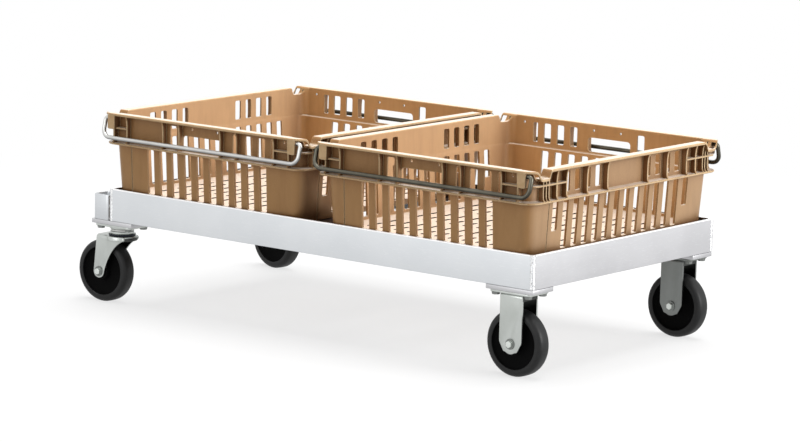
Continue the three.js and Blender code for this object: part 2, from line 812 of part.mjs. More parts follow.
function traySolid() {
  const turn = (solid) => solid.rotate([0, 0, 180]);
  const bodyX = halfTrayLength - bodyInsetLong - trayWall;
  const bodyY = halfTrayDepth - bodyInsetWide - trayWall;
  const rim = collar(halfTrayLength, halfTrayDepth, rimCorner, apronX - trayWall, apronY - trayWall,
    trayHeight - rimLip, trayHeight);
  const ledge = collar(edgeX, edgeY, rimCorner, bodyX, bodyY, ledgeHeight - ledgeWall, ledgeHeight);
  const side = longSideSolids();
  const whole = joined([
    tubSolid(), rim, ledge, ...endRibs(), ...endLevelRibs(), ...notchSaddles(),
    ...side, ...side.map(turn),
  ]);
  const sideCuts = longSideCuts();
  return cut(whole, [...throughCuts(), ...sideCuts, ...sideCuts.map(turn), ...rimCuts()]);
}

// Half of a bail's line, from the middle of the bar out, up the leg and in to its block
function bailHalfLine() {
  const points = [];
  const bend = (cx, cz, radius, from, to) => {
    for (let i = 0; i <= bendSteps; i += 1) {
      const angle = from + ((to - from) * i) / bendSteps;
      points.push([cx + radius * Math.cos(angle), cz + radius * Math.sin(angle)]);
    }
  };
  bend(bailHalfWidth - bailBarBend, -bailLeg + bailBarBend, bailBarBend, -Math.PI / 2, 0);
  bend(bailHalfWidth - bailTopBend, -bailTopBend, bailTopBend, 0, Math.PI / 2);
  points.push([blockOuter - bailTail, 0]);
  return points;
}

// A bail hanging on the -Y side, with its hinge line through the origin
function bailSolid() {
  const half = bailHalfLine();
  const line = [...half.map(([x, z]) => [-x, z]).reverse(), ...half];
  const down = new THREE.Vector3(0, Math.sin(bailLean), Math.cos(bailLean));
  const normal = new THREE.Vector3(0, Math.cos(bailLean), -Math.sin(bailLean));
  const points = line.map(([x, z]) => new THREE.Vector3(x, 0, 0).addScaledVector(down, z));
  return wire(points, wireRadius, normal);
}

function makeTray(side, x, shift) {
  place(`tray_${side}`, 'plastic', traySolid(), x, shift, trayBase);
  const z = trayBase + bailPivotHeight;
  place(`bail_${side}_front`, 'steel', bailSolid(), x, shift - bailY, z);
  place(`bail_${side}_back`, 'steel', bailSolid(), x, shift + bailY, z, Math.PI);
}

// The whole dolly

makeFrame();
makeSocket('handle_socket_front', -1);
makeSocket('handle_socket_back', 1);

const corners = [
  ['front_left', swivelX, -1, frontCasterTurn],
  ['back_left', swivelX, 1, backCasterTurn],
  ['front_right', rigidX, -1, null],
  ['back_right', rigidX, 1, null],
];
for (const [corner, x, side, turn] of corners) {
  const y = side * casterY;
  makePad(corner, x, y);
  if (turn === null) makeRigidCaster(corner, side);
  else makeSwivelCaster(corner, side, turn);
}

makeTray('left', -traySpacing / 2, trayShiftLeft);
makeTray('right', traySpacing / 2, trayShiftRight);

// The frame's middle is not the dolly's: its trailing wheels and sockets reach out at one end
const middle = new THREE.Box3().setFromObject(dolly, true).getCenter(new THREE.Vector3());
dolly.position.set(-middle.x, -middle.y, 0);

export default dolly;
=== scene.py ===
import json
import math
import random

import bmesh
import bpy
from mathutils import Matrix, Vector


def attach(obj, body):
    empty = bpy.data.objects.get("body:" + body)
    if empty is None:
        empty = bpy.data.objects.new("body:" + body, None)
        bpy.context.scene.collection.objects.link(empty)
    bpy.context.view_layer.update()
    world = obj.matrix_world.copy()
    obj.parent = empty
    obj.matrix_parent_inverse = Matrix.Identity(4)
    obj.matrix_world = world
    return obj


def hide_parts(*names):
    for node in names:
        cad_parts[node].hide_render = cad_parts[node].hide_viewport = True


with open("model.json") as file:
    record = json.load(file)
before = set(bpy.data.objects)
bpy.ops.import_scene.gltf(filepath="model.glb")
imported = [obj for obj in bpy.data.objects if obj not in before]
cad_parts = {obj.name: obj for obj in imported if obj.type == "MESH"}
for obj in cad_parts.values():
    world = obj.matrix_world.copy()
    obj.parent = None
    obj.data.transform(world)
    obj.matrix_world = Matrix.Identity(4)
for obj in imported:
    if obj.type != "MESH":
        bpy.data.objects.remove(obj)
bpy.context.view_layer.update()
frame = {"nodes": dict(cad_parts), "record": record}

MM = 0.001


# Finishes

class Value:
    """A number, colour or vector that changes over a surface, and the sums made with it."""

    def __init__(self, finish, socket):
        self.finish = finish
        self.socket = socket

    def sum(self, operation, *values):
        return self.finish.add("ShaderNodeMath", {"operation": operation}, *values)

    def __add__(self, other):
        return self.sum("ADD", self, other)

    def __radd__(self, other):
        return self.sum("ADD", other, self)

    def __sub__(self, other):
        return self.sum("SUBTRACT", self, other)

    def __rsub__(self, other):
        return self.sum("SUBTRACT", other, self)

    def __mul__(self, other):
        return self.sum("MULTIPLY", self, other)

    def __rmul__(self, other):
        return self.sum("MULTIPLY", other, self)


class Finish:
    """A material built from nodes: its steady values sit on the shader's own sockets."""

    def __init__(self, name, **steady):
        self.material = bpy.data.materials.new(name)
        self.material.use_nodes = True
        self.nodes = self.material.node_tree.nodes
        self.links = self.material.node_tree.links
        self.shader = self.nodes["Principled BSDF"]
        for socket, value in steady.items():
            self.shader.inputs[socket.replace("_", " ")].default_value = value

    def add(self, kind, settings=None, *values, output=0, **named):
        """Adds a node, gives it its settings, then the values or links of its sockets."""
        node = self.nodes.new(kind)
        for name, value in (settings or {}).items():
            if name == "stops":
                self.set_stops(node.color_ramp, value)
            else:
                setattr(node, name, value)
        for place, value in enumerate(values):
            self.feed(node.inputs[place], value)
        for name, value in named.items():
            self.feed(node.inputs[name.replace("_", " ")], value)
        return Value(self, node.outputs[output])

    def set_stops(self, ramp, stops):
        while len(ramp.elements) < len(stops):
            ramp.elements.new(1)
        for element, (place, colour) in zip(ramp.elements, stops):
            element.position = place
            element.color = (*colour, 1) if isinstance(colour, tuple) else (colour, colour, colour, 1)

    def feed(self, socket, value):
        if isinstance(value, Value):
            self.links.new(value.socket, socket)
        elif value is not None:
            socket.default_value = value

    def paint(self, **varying):
        for socket, value in varying.items():
            self.feed(self.shader.inputs[socket.replace("_", " ")], value)
        return self.material

    def place(self, scale=(1, 1, 1)):
        """The point on the piece, stretched by scale."""
        point = self.add("ShaderNodeTexCoord", output=3)
        return self.add("ShaderNodeMapping", {"vector_type": "POINT"}, point, Scale=scale)

    def noise(self, point, scale, detail=3, roughness=0.5):
        return self.add("ShaderNodeTexNoise", {"noise_dimensions": "3D"},
                        Vector=point, Scale=scale, Detail=detail, Roughness=roughness)

    def ramp(self, value, *stops):
        return self.add("ShaderNodeValToRGB", {"stops": stops}, value)

    def mix(self, share, low, high):
        node = self.nodes.new("ShaderNodeMix")
        node.data_type = "RGBA"
        for socket, value in ((node.inputs[0], share), (node.inputs[6], low), (node.inputs[7], high)):
            self.feed(socket, (*value, 1) if isinstance(value, tuple) else value)
        return Value(self, node.outputs[2])

    def facing(self, axis):
        """How far the surface faces along an axis, from -1 to 1."""
        normal = self.add("ShaderNodeNewGeometry", output=1)
        return self.add("ShaderNodeSeparateXYZ", None, normal, output=axis)

    def bump(self, height, strength, distance, normal=None):
        return self.add("ShaderNodeBump", None, Height=height, Strength=strength,
                        Distance=distance, Normal=normal)

    def soft_edges(self, radius, samples=4):
        return self.add("ShaderNodeBevel", {"samples": samples}, Radius=radius)


def dimmed(colour, share):
    return tuple(share * part for part in colour)


def drawn_out(along, run, across):
    """The scale of a pattern of lines that run along an axis."""
    return tuple(run if axis == along else across for axis in range(3))


def moulded_plastic(name, edge_light):
    """Tan moulded plastic with painted shade in its recesses, painted highlights on its edges, painted
    light on its faces that look towards +X and a pale painted sheen where it faces up. The second
    argument is how pale the whole of it is painted as lit, which also lessens the painted shade."""
    finish = Finish(name, Roughness=0.4, IOR=1.5, Specular_IOR_Level=0.25)
    point = finish.place()
    cloudy = finish.noise(point, 9, 4, 0.6)
    streaks = finish.noise(finish.place((1, 1, 0.15)), 70, 3, 0.6)
    tan = finish.mix(cloudy, (0.47, 0.252, 0.095), (0.60, 0.338, 0.147))
    tan = finish.mix(finish.ramp(streaks, (0.45, 0), (0.75, 1)) * 0.35, tan, (0.38, 0.19, 0.07))
    # Painted light: faces that look towards +X, where the right lamp falls, are painted paler.
    lit_side = finish.ramp(finish.facing(0), (0.6, 0), (0.95, 1))
    tan = finish.mix(lit_side * 0.16, tan, (0.80, 0.70, 0.58))
    # Painted shade: hemmed-in places, as the ambient occlusion finds them, are painted towards dark
    # brown.
    open_air = finish.add("ShaderNodeAmbientOcclusion", {"samples": 4}, output=1, Distance=0.07)
    recess_shade = finish.ramp(open_air, (0.3, 1), (0.92, 0))
    tan = finish.mix(recess_shade * (0.85 - edge_light), tan, (0.13, 0.05, 0.014))
    # Painted highlight: the copy for the outermost faces is mottled pale, as far as the second argument
    # asks.
    edge_light_mottle = finish.ramp(finish.noise(point, 60, 4, 0.6), (0.3, 0.5), (0.6, 1))
    tan = finish.mix(edge_light_mottle * edge_light, tan, (0.92, 0.70, 0.42))
    flat = finish.add("ShaderNodeNewGeometry", output=1)
    round_edge = finish.soft_edges(0.0017)
    alike = finish.add("ShaderNodeVectorMath", {"operation": "DOT_PRODUCT"}, flat, round_edge,
                       output=1)
    # Painted highlight: pale where the rounded-edge normal turns from the flat one, as if the edges
    # caught the light.
    edge_highlight = finish.ramp((1 - alike) * 10, (0.1, 0), (0.9, 1))
    colour = finish.mix(edge_highlight * 0.8, tan, (0.88, 0.68, 0.40))
    # Painted sheen: faces that look up are painted a pale cream, as the lit tops and their grazing
    # reflection.
    top_sheen = finish.ramp(finish.facing(2), (0.75, 0), (0.97, 1))
    colour = finish.mix(top_sheen * 0.74, colour, (0.93, 0.82, 0.71))
    pebbles = finish.noise(point, 900, 2, 0.5)
    rough = 0.30 + 0.18 * finish.noise(point, 45, 5, 0.6)
    return finish.paint(Base_Color=colour, Roughness=rough,
                        Normal=finish.bump(pebbles, 0.12, 0.0004, round_edge))


def drain_recess_shade():
    """The tray's plastic inside its drain slots, painted dark as the shade in them."""
    finish = Finish("drain_recess_shade", Roughness=0.8, Specular_IOR_Level=0.1)
    grain = finish.noise(finish.place(), 160, 3)
    colour = finish.mix(grain, (0.012, 0.007, 0.004), (0.05, 0.028, 0.015))
    return finish.paint(Base_Color=colour)


def mill_aluminium(name, along, low, high):
    """Mill-finished channel: fine lines drawn along its length, faint clouds and scratches."""
    finish = Finish(name, Metallic=1.0, Roughness=0.4)
    lines = finish.noise(finish.place(drawn_out(along, 1.5, 120)), 6, 4, 0.6)
    clouds = finish.noise(finish.place(), 7, 4, 0.6)
    marks = finish.noise(finish.place(drawn_out(along, 8, 90)), 9, 2)
    scratches = finish.ramp(marks, (0.62, 0), (0.68, 1))
    grey = finish.mix(clouds, low, high)
    colour = finish.mix(scratches * 0.25, grey, (0.8, 0.81, 0.82))
    rough = 0.3 + 0.14 * lines + 0.12 * clouds
    return finish.paint(Base_Color=colour, Roughness=rough,
                        Normal=finish.bump(lines, 0.08, 0.0003, finish.soft_edges(0.0009)))


def shaded_trough_aluminium():
    """The frame's aluminium where the trays stand on it, painted dark as the shade between the lips and
    the trays.
    """
    finish = Finish("shaded_trough_aluminium", Roughness=0.8, Specular_IOR_Level=0.05)
    mottle = finish.noise(finish.place(), 60, 4, 0.6)
    colour = finish.mix(mottle, (0.03, 0.018, 0.014), (0.11, 0.075, 0.06))
    return finish.paint(Base_Color=colour, Roughness=0.55 + 0.3 * mottle)


def plated_zinc(name, bright):
    """Zinc plating with a faint spangle and duller handled patches, as bright as it is given: its
    brighter and darker copies stand as painted highlight and painted shade.
    """
    finish = Finish(name, Metallic=1.0, Roughness=0.3)
    point = finish.place()
    spangle = finish.noise(point, 160, 3, 0.6)
    patches = finish.noise(point, 22, 4, 0.6)
    runs = finish.noise(finish.place((1, 1, 0.25)), 38, 2, 0.5)
    shades = finish.ramp(runs, (0.3, 0), (0.7, 1))
    grey = finish.mix(patches, dimmed((0.60, 0.64, 0.60), bright), dimmed((0.92, 0.96, 0.92), bright))
    colour = finish.mix(shades * 0.5, grey, dimmed((1, 1.04, 1.02), bright))
    rough = 0.2 + 0.12 * spangle + 0.16 * patches
    return finish.paint(Base_Color=colour, Roughness=rough,
                        Normal=finish.bump(spangle, 0.06, 0.0003, finish.soft_edges(0.0008)))


def wheel_rubber():
    """Black moulded rubber, dusty on the tread."""
    finish = Finish("wheel_rubber", Roughness=0.5, IOR=1.5, Specular_IOR_Level=0.35)
    point = finish.place()
    dust = finish.ramp(finish.noise(point, 30, 5, 0.6), (0.4, 0), (0.75, 1))
    colour = finish.mix(dust * 0.5, (0.006, 0.0065, 0.007), (0.03, 0.029, 0.028))
    grain = finish.noise(point, 500, 2)
    rough = 0.42 + 0.22 * dust
    return finish.paint(Base_Color=colour, Roughness=rough,
                        Normal=finish.bump(grain, 0.1, 0.0003, finish.soft_edges(0.0012)))


def wheel_core():
    """The dull black moulded web and hub of a wheel."""
    finish = Finish("wheel_core", Roughness=0.7, IOR=1.45, Specular_IOR_Level=0.06)
    grain = finish.noise(finish.place(), 300, 3)
    colour = finish.mix(grain, (0.0015, 0.0015, 0.0016), (0.005, 0.005, 0.005))
    return finish.paint(Base_Color=colour, Roughness=0.6 + 0.2 * grain,
                        Normal=finish.bump(grain, 0.1, 0.0003))


def bail_steel(name, low, high):
    """Satin steel wire with fine drawn lines, and painted shade underneath."""
    finish = Finish(name, Metallic=1.0, Roughness=0.3)
    lines = finish.noise(finish.place((4, 160, 160)), 6, 3)
    wear = finish.noise(finish.place(), 30, 4)
    # Painted shade: the wire darkens where it faces down.
    shaded_underside = finish.ramp(0.5 + 0.5 * finish.facing(2), (0.2, 1), (0.6, 0))
    colour = finish.mix(shaded_underside * 0.75, finish.mix(wear, low, high), dimmed(low, 0.3))
    return finish.paint(Base_Color=colour, Roughness=0.22 + 0.2 * wear,
                        Normal=finish.bump(lines, 0.06, 0.0002))


def weld_aluminium(name, pits_and_shade):
    """Rough weld metal with dark pits. The larger its second argument is, the more of it is black; the
    blacker copy is painted shade in the gaps beside the sockets.
    """
    finish = Finish(name, Metallic=1.0, Roughness=0.45)
    point = finish.place()
    pits = finish.ramp(finish.noise(point, 420, 3, 0.6), (pits_and_shade, 1), (pits_and_shade + 0.08, 0))
    colour = finish.mix(pits, (0.86, 0.865, 0.87), (0.13, 0.115, 0.105))
    lumps = finish.noise(point, 260, 3, 0.6)
    return finish.paint(Base_Color=colour, Roughness=0.34 + 0.3 * pits,
                        Normal=finish.bump(lumps, 0.5, 0.0008))


tan_plastic = moulded_plastic("tray_plastic", 0)
# A copy for the tray's outermost faces, paler as a painted highlight where they catch the light.
edge_light_plastic = moulded_plastic("edge_light_plastic", 0.55)
drain_shade_plastic = drain_recess_shade()
rail_metal_long = mill_aluminium("mill_aluminium_long", 0, (0.60, 0.625, 0.65), (0.72, 0.735, 0.75))
# A darker copy of the same aluminium, painted shade on the end rails and the pads.
shaded_rail_metal = mill_aluminium("mill_aluminium_shaded", 1, (0.535, 0.535, 0.55), (0.625, 0.625, 0.64))
# A near-white copy of the same aluminium, a painted highlight on the tops of the lips.
lip_highlight_metal = mill_aluminium("lip_highlight", 2, (0.90, 0.90, 0.90), (0.98, 0.97, 0.97))
trough_shade_metal = shaded_trough_aluminium()
zinc = plated_zinc("plated_zinc", 0.67)
# Lit and shaded copies of the zinc: the brighter is a painted highlight, the darker two painted shade.
lit_zinc = plated_zinc("lit_zinc", 0.88)
shadowed_zinc = plated_zinc("shadowed_zinc", 0.27)
shade_zinc = plated_zinc("shade_zinc", 0.07)
rubber = wheel_rubber()
core = wheel_core()
steel = bail_steel("satin_steel", (0.50, 0.50, 0.485), (0.74, 0.74, 0.72))
# A dark copy of the satin steel: painted shade and dark painted reflection on all bails but the front
# left one.
shaded_steel = bail_steel("shaded_steel", (0.055, 0.051, 0.038), (0.19, 0.18, 0.145))
seal_dark = bail_steel("dark_seal", (0.02, 0.022, 0.028), (0.05, 0.052, 0.06))
weld_metal = weld_aluminium("weld_aluminium", 0.33)
# The blacker weld is painted shade in the gaps beside the sockets.
shaded_weld = weld_aluminium("shaded_weld", 0.56)


def finish_of(node):
    """The finish of a bare CAD node, for any that nothing stands for."""
    if node.startswith("tray"):
        return tan_plastic
    if node in ("rail_left_end", "rail_right_end"):
        return shaded_rail_metal
    if node.startswith(("rail", "corner_pad", "handle_socket")):
        return rail_metal_long
    if node.startswith("wheel"):
        return rubber
    if node.startswith(("bail", "ball_ring")):
        return steel
    return zinc


def coat(piece, material):
    piece.data.materials.clear()
    piece.data.materials.append(material)


for name, node in frame["nodes"].items():
    for slot in node.material_slots:
        slot.material = finish_of(name)


# Modelling by hand

def fresh():
    """Leaves edit mode with nothing selected."""
    if bpy.context.mode != "OBJECT":
        bpy.ops.object.mode_set(mode="OBJECT")
    bpy.ops.object.select_all(action="DESELECT")


def take(*pieces):
    """Selects these pieces alone, the first of them active."""
    fresh()
    for piece in pieces:
        piece.select_set(True)
    bpy.context.view_layer.objects.active = pieces[0]
    return pieces[0]


def edit(piece, mode="EDGE"):
    take(piece)
    bpy.ops.object.mode_set(mode="EDIT")
    bpy.ops.mesh.select_mode(type=mode)
    bpy.ops.mesh.select_all(action="SELECT")


def pick(piece, kind, test):
    """In edit mode, selects the verts, edges or faces that pass the test."""
    mesh = bmesh.from_edit_mesh(piece.data)
    for part in (*mesh.faces, *mesh.edges, *mesh.verts):
        part.select = False
    for part in [part for part in getattr(mesh, kind) if test(part)]:
        part.select_set(True)
    mesh.select_flush_mode()
    bmesh.update_edit_mesh(piece.data)


def settle(piece, name=None):
    """Puts the place of a piece into its mesh, and its object at the origin."""
    take(piece)
    bpy.ops.object.transform_apply(location=True, rotation=True, scale=True)
    if name:
        piece.name = piece.data.name = name
    return piece


def shaded(piece, degrees=35):
    take(piece)
    bpy.ops.object.shade_smooth_by_angle(angle=math.radians(degrees))
    return piece


def copy_of(piece, name, shift=(0, 0, 0), turn=0):
    """A copy with its own mesh, turned and then moved."""
    made = piece.copy()
    made.data = piece.data.copy()
    bpy.context.scene.collection.objects.link(made)
    made.name = made.data.name = name
    return move(made, shift, turn)


def joined(pieces, name):
    take(*pieces)
    bpy.ops.object.join()
    piece = bpy.context.object
    piece.name = piece.data.name = name
    return piece


def merged(piece):
    """Joins doubled points and turns the faces outwards."""
    edit(piece, "VERT")
    bpy.ops.mesh.remove_doubles(threshold=0.002 * MM)
    bpy.ops.mesh.normals_make_consistent(inside=False)
    fresh()
    return piece


def move(piece, shift, turn=0):
    """Turns a piece's mesh about the upright line through the origin, then moves it."""
    piece.data.transform(Matrix.Translation(Vector(shift) * MM) @ Matrix.Rotation(turn, 4, "Z"))
    return piece


def across_x(piece):
    """Turns a piece drawn in X and Z so that it is drawn in Y and Z."""
    piece.data.transform(Matrix(((0, 1, 0, 0), (1, 0, 0, 0), (0, 0, 1, 0), (0, 0, 0, 1))))
    return merged(piece)


def boolean(piece, tool, operation, overlapping=False):
    """Cuts the tool out of the piece, welds it on or keeps what they share. Removes the tool."""
    change = piece.modifiers.new("work", "BOOLEAN")
    change.operation = operation
    change.object = tool
    change.solver = "EXACT"
    change.use_self = overlapping
    take(piece)
    bpy.ops.object.modifier_apply(modifier="work")
    bpy.data.objects.remove(tool)
    return piece


def apply_bevel(piece, width, segments=2, degrees=40):
    """Rounds every edge that is sharper than this."""
    change = piece.modifiers.new("round", "BEVEL")
    change.width = width * MM
    change.segments = segments
    change.limit_method = "ANGLE"
    change.angle_limit = math.radians(degrees)
    take(piece)
    bpy.ops.object.modifier_apply(modifier="round")
    return piece


def block(x0, x1, y0, y1, z0, z1, along=None, corner=0, steps=2):
    """A block between two corners. The edges that run along an axis are rounded by corner."""
    fresh()
    low = Vector((min(x0, x1), min(y0, y1), min(z0, z1))) * MM
    high = Vector((max(x0, x1), max(y0, y1), max(z0, z1))) * MM
    bpy.ops.mesh.primitive_cube_add(size=1, location=(low + high) / 2, scale=high - low)
    piece = settle(bpy.context.object)
    if corner:
        edit(piece)
        pick(piece, "edges", lambda e: all(
            a == along or abs(e.verts[0].co[a] - e.verts[1].co[a]) < 1e-6 for a in range(3)))
        bpy.ops.mesh.bevel(offset=corner * MM, segments=steps, affect="EDGES")
        fresh()
    return piece


def rod(radius, length, sides, centre, tilt=(0, 0, 0), name="rod"):
    """A cylinder that stands on end, unless it is tilted."""
    fresh()
    bpy.ops.mesh.primitive_cylinder_add(vertices=sides, radius=radius * MM, depth=length * MM,
                                        location=Vector(centre) * MM, rotation=tilt)
    return settle(bpy.context.object, name)


def ring_stack(levels, steps, name):
    """A closed skin through rounded rectangles: half X, half Y, corner radius, height. The rim of
    each is extruded to the next, and each of its corners moved and spread to the new radius."""
    fresh()
    half_x, half_y, corner, height = levels[0]
    bpy.ops.mesh.primitive_plane_add(size=2 * MM, location=(0, 0, height * MM))
    piece = settle(bpy.context.object, name)
    edit(piece)
    bpy.ops.transform.resize(value=(half_x, half_y, 1), center_override=(0, 0, height * MM))
    bpy.ops.mesh.bevel(offset=corner * MM, segments=steps, affect="VERTICES")
    pick(piece, "edges", lambda e: True)
    for before, after in zip(levels, levels[1:]):
        bpy.ops.mesh.extrude_edges_move(
            TRANSFORM_OT_translate={"value": (0, 0, (after[3] - before[3]) * MM)})
        mesh = bmesh.from_edit_mesh(piece.data)
        for vert in mesh.verts:
            if vert.select:
                for axis in (0, 1):
                    sign = math.copysign(1, vert.co[axis])
                    reach = (vert.co[axis] - sign * (before[axis] - before[2]) * MM) / before[2]
                    vert.co[axis] = sign * (after[axis] - after[2]) * MM + reach * after[2]
        bmesh.update_edit_mesh(piece.data)
    bpy.ops.mesh.edge_face_add()
    return merged(piece)


def traced(points, name):
    """A line of edges drawn by extruding one point from place to place. It is left in edit mode."""
    fresh()
    bpy.ops.mesh.primitive_plane_add(size=MM)
    piece = bpy.context.object
    piece.name = piece.data.name = name
    edit(piece, "VERT")
    bpy.ops.mesh.merge(type="CENTER")
    bpy.ops.transform.translate(value=points[0])
    for a, b in zip(points, points[1:]):
        bpy.ops.mesh.extrude_region_move(TRANSFORM_OT_translate={"value": b - a})
    bpy.ops.mesh.select_all(action="SELECT")
    return piece


def drawn(outline, depth0, depth1, name, across="Y"):
    """A plate of an outline drawn in X and Z (across Y) or X and Y (across Z): its line is filled,
    and the face extruded."""
    piece = traced([Vector((a, depth0, b) if across == "Y" else (a, b, depth0)) * MM
                    for a, b in outline], name)
    bpy.ops.mesh.edge_face_add()
    reach = (depth1 - depth0) * MM
    bpy.ops.mesh.extrude_region_move(
        TRANSFORM_OT_translate={"value": (0, reach, 0) if across == "Y" else (0, 0, reach)})
    return merged(piece)


def turned(profile, sides, name, axis="Z"):
    """A body spun from a closed line of points: how far from the axis, and how far along it."""
    piece = traced([Vector((r, 0, level) if axis == "Z" else (r, level, 0)) * MM
                    for r, level in (*profile, profile[0])], name)
    bpy.ops.mesh.spin(steps=sides, angle=math.tau, center=(0, 0, 0),
                      axis=(0, 0, 1) if axis == "Z" else (0, 1, 0))
    return merged(piece)


def arc(cx, cy, radius, start, end, steps):
    """Points on an arc, in degrees."""
    angles = [math.radians(start + (end - start) * k / steps) for k in range(steps + 1)]
    return [(cx + radius * math.cos(angle), cy + radius * math.sin(angle)) for angle in angles]


def rounded_outline(half_x, half_y, radius, steps=4):
    points = []
    for sx, sy, start in ((1, 1, 0), (-1, 1, 90), (-1, -1, 180), (1, -1, 270)):
        points += arc(sx * (half_x - radius), sy * (half_y - radius), radius, start, start + 90, steps)
    return points


# Trays, each modelled round its own middle with its base at height 0

TRAY_PLACES = {"left": (-226.392, 1.0), "right": (315.608, -1.0)}
TRAY_BASE = 221.4
TOP = 166
RIM_X, RIM_Y, RIM_CORNER = 258.5, 305.5, 28
RIM_LIP = 5
APRON_X, APRON_Y = 240.5, 289
APRON_SKIN = 1.5
EDGE_X, EDGE_Y = 255, 302
SLOT_WIDTH, SLOT_CORNER = 17, 3
SLOT_FOOT, SLOT_TOP = 12, 101
SHORT_SLOT_FOOT = 46.5
WINDOW_FOOT, WINDOW_TOP = 116, 155
HALF_SCREW_HOLE = 2.2
SCREW_HOLE_HEIGHT = 153.5
LEVEL_FOOT, LEVEL_TOP = 135.5, 138.5
DRAIN_LENGTH, DRAIN_HALF_WIDTH = 45, 3.8
BLOCK_INNER, BLOCK_OUTER = 222, 240
CUT_OVERRUN = 4

# Places along the walls, in pitches from the middle
PITCH = 32.1
LONG_RIBS = (-7.15, -6.07, -3.12, -1.81, 1.48, 2.76, 5.67, 6.82)
END_RIBS = (2, 4, 6, 6.94)
THIN_RIBS = (7.69, 7.95, 8.22)
LONG_WINDOWS = (-2.5, 2.5, 3.5, 4.5)
HALF_WINDOW = (5.23, 5.58)
END_WINDOWS = (2.5, 3.5, 4.5, 5.5)
SCREW_HOLES = (-1, 1, 6.26)

# The bails' hinge lines and wire
BAIL_Y, BAIL_HEIGHT = 298.5, 156.2
BAIL_LEG = 250
BAIL_WIRE = 4.2
BAIL_HOLE = 4.75

CORNERS = [(end, side) for end in (-1, 1) for side in (-1, 1)]
SIDES = (("front", -1), ("back", 1))


def tray_shell():
    """The tub, its ledge flange, its apron and its rolled rim, as one skin."""
    return ring_stack([
        (229.8, 275.1, 16, 0), (232.2, 277.5, 18.4, 0.9), (233.9, 279.2, 20, 3.4),
        (239.7, 284.4, 20, 100), (240.6, 285.3, 20.8, 102.8), (243, 287.6, 23, 104),
        (254, 301, 27, 104), (255, 302, 28, 105), (255, 302, 28, 107), (254, 301, 27, 108),
        (243.5, 292, 23, 108), (241.2, 289.7, 20.7, 109.2), (240.5, 289, 20, 112),
        (240.5, 289, 20, 158), (241.3, 289.8, 20.8, 160.2), (243.5, 292, 23, 161),
        (257.3, 304.3, 26.8, 161), (258.5, 305.5, 28, 162.2), (258.5, 305.5, 28, 164.8),
        (257.3, 304.3, 26.8, 166), (238.7, 287.2, 18.2, 166), (237.5, 286, 17, 164.8),
        (236.4, 285.9, 17, 109.5), (236.2, 284.9, 16, 108), (235.9, 280.4, 15, 106.5),
        (229.2, 274.5, 15, 11), (228, 273.3, 13.8, 6.2), (223.5, 269, 10, 4),
    ], 6, "tray_shell")


def rib_outline(inner, edge):
    """A rib from the apron wall out to its edge, flared where it meets the ledge."""
    return [(inner, 106), (edge - 0.2, 106), (edge - 0.4, 108.6), (edge - 2.2, 110.4),
            (edge - 3.4, 114), (edge - 3.8, 121), (edge - 3.6, 143), (edge - 2.4, 154),
            (edge - 0.2, 160.5), (edge - 0.2, 163.5), (inner, 163.5)]


def end_rib(y, wall):
    """A rib on the +X end wall at y, and its twin on the -X one."""
    near = drawn(rib_outline(APRON_X - APRON_SKIN, EDGE_X), y - wall / 2, y + wall / 2, "end_rib")
    return [near, copy_of(near, "end_rib", turn=math.pi, shift=(0, 2 * y, 0))]


def tray_ribs():
    pieces = []
    for share in (*END_RIBS, *THIN_RIBS):
        for side in (-1, 1):
            pieces += end_rib(side * share * PITCH, 2.4 if share in THIN_RIBS else 3.4)
    pattern = drawn(rib_outline(APRON_Y - APRON_SKIN, EDGE_Y), -1.6, 1.6, "long_rib")
    for share in LONG_RIBS:
        x = share * PITCH
        pieces.append(copy_of(pattern, "long_rib", (x, 0, 0), -math.pi / 2))
        pieces.append(copy_of(pattern, "long_rib", (-x, 0, 0), math.pi / 2))
    bpy.data.objects.remove(pattern)
    return pieces


def mirrored(pattern, end, side):
    """A copy of a piece of the +X, +Y corner at one of the four."""
    made = copy_of(pattern, pattern.name)
    made.data.transform(Matrix.Diagonal((end, side, 1, 1)))
    return merged(made)


def at_corners(pattern):
    made = [mirrored(pattern, end, side) for end, side in CORNERS]
    bpy.data.objects.remove(pattern)
    return made


def tray_levels():
    """Level ribs, the shelves that take them round the corners, and the bails' blocks."""
    inner_y, corner_y = END_RIBS[2] * PITCH, 274
    apron_x, apron_y = APRON_X - APRON_SKIN, APRON_Y - APRON_SKIN
    shelf = [*arc(227, corner_y, 25.5, 0, 52, 6), *arc(220.5, 269, 18.5, 60, 0, 6)]
    made = at_corners(drawn(shelf, LEVEL_FOOT, LEVEL_TOP, "shelf", "Z"))
    for end, side in CORNERS:
        made.append(block(end * apron_x, end * (EDGE_X - 2.6), side * inner_y, side * corner_y,
                          LEVEL_FOOT, LEVEL_TOP))
        made.append(block(end * BLOCK_INNER, end * BLOCK_OUTER, side * apron_y, side * (RIM_Y - 0.3),
                          135, 163, along=1, corner=3))
    for turn in (-1, 1):
        for a, b in (LONG_RIBS[:2], LONG_RIBS[-2:]):
            made.append(block(-turn * a * PITCH, -turn * b * PITCH, turn * apron_y, turn * (EDGE_Y - 3),
                              LEVEL_FOOT, LEVEL_TOP))
    return made


def slot_cutters():
    """Slots and windows through both end walls, and slots through both long walls."""
    far_x, far_y = RIM_X + CUT_OVERRUN, RIM_Y + CUT_OVERRUN

    def through_ends(share, foot, top):
        y = share * PITCH
        return block(-far_x, far_x, y - SLOT_WIDTH / 2, y + SLOT_WIDTH / 2, foot, top, 0, SLOT_CORNER)

    made = []
    for k in range(14):
        made.append(through_ends(k - 6.5, SHORT_SLOT_FOOT if k in (0, 13) else SLOT_FOOT, SLOT_TOP))
    for k in range(10):
        x = (k - 4.5) * PITCH
        made.append(block(x - SLOT_WIDTH / 2, x + SLOT_WIDTH / 2, -far_y, far_y, SLOT_FOOT, SLOT_TOP,
                          1, SLOT_CORNER))
    for share in END_WINDOWS:
        made += [through_ends(side * share, WINDOW_FOOT, WINDOW_TOP) for side in (-1, 1)]
    return made


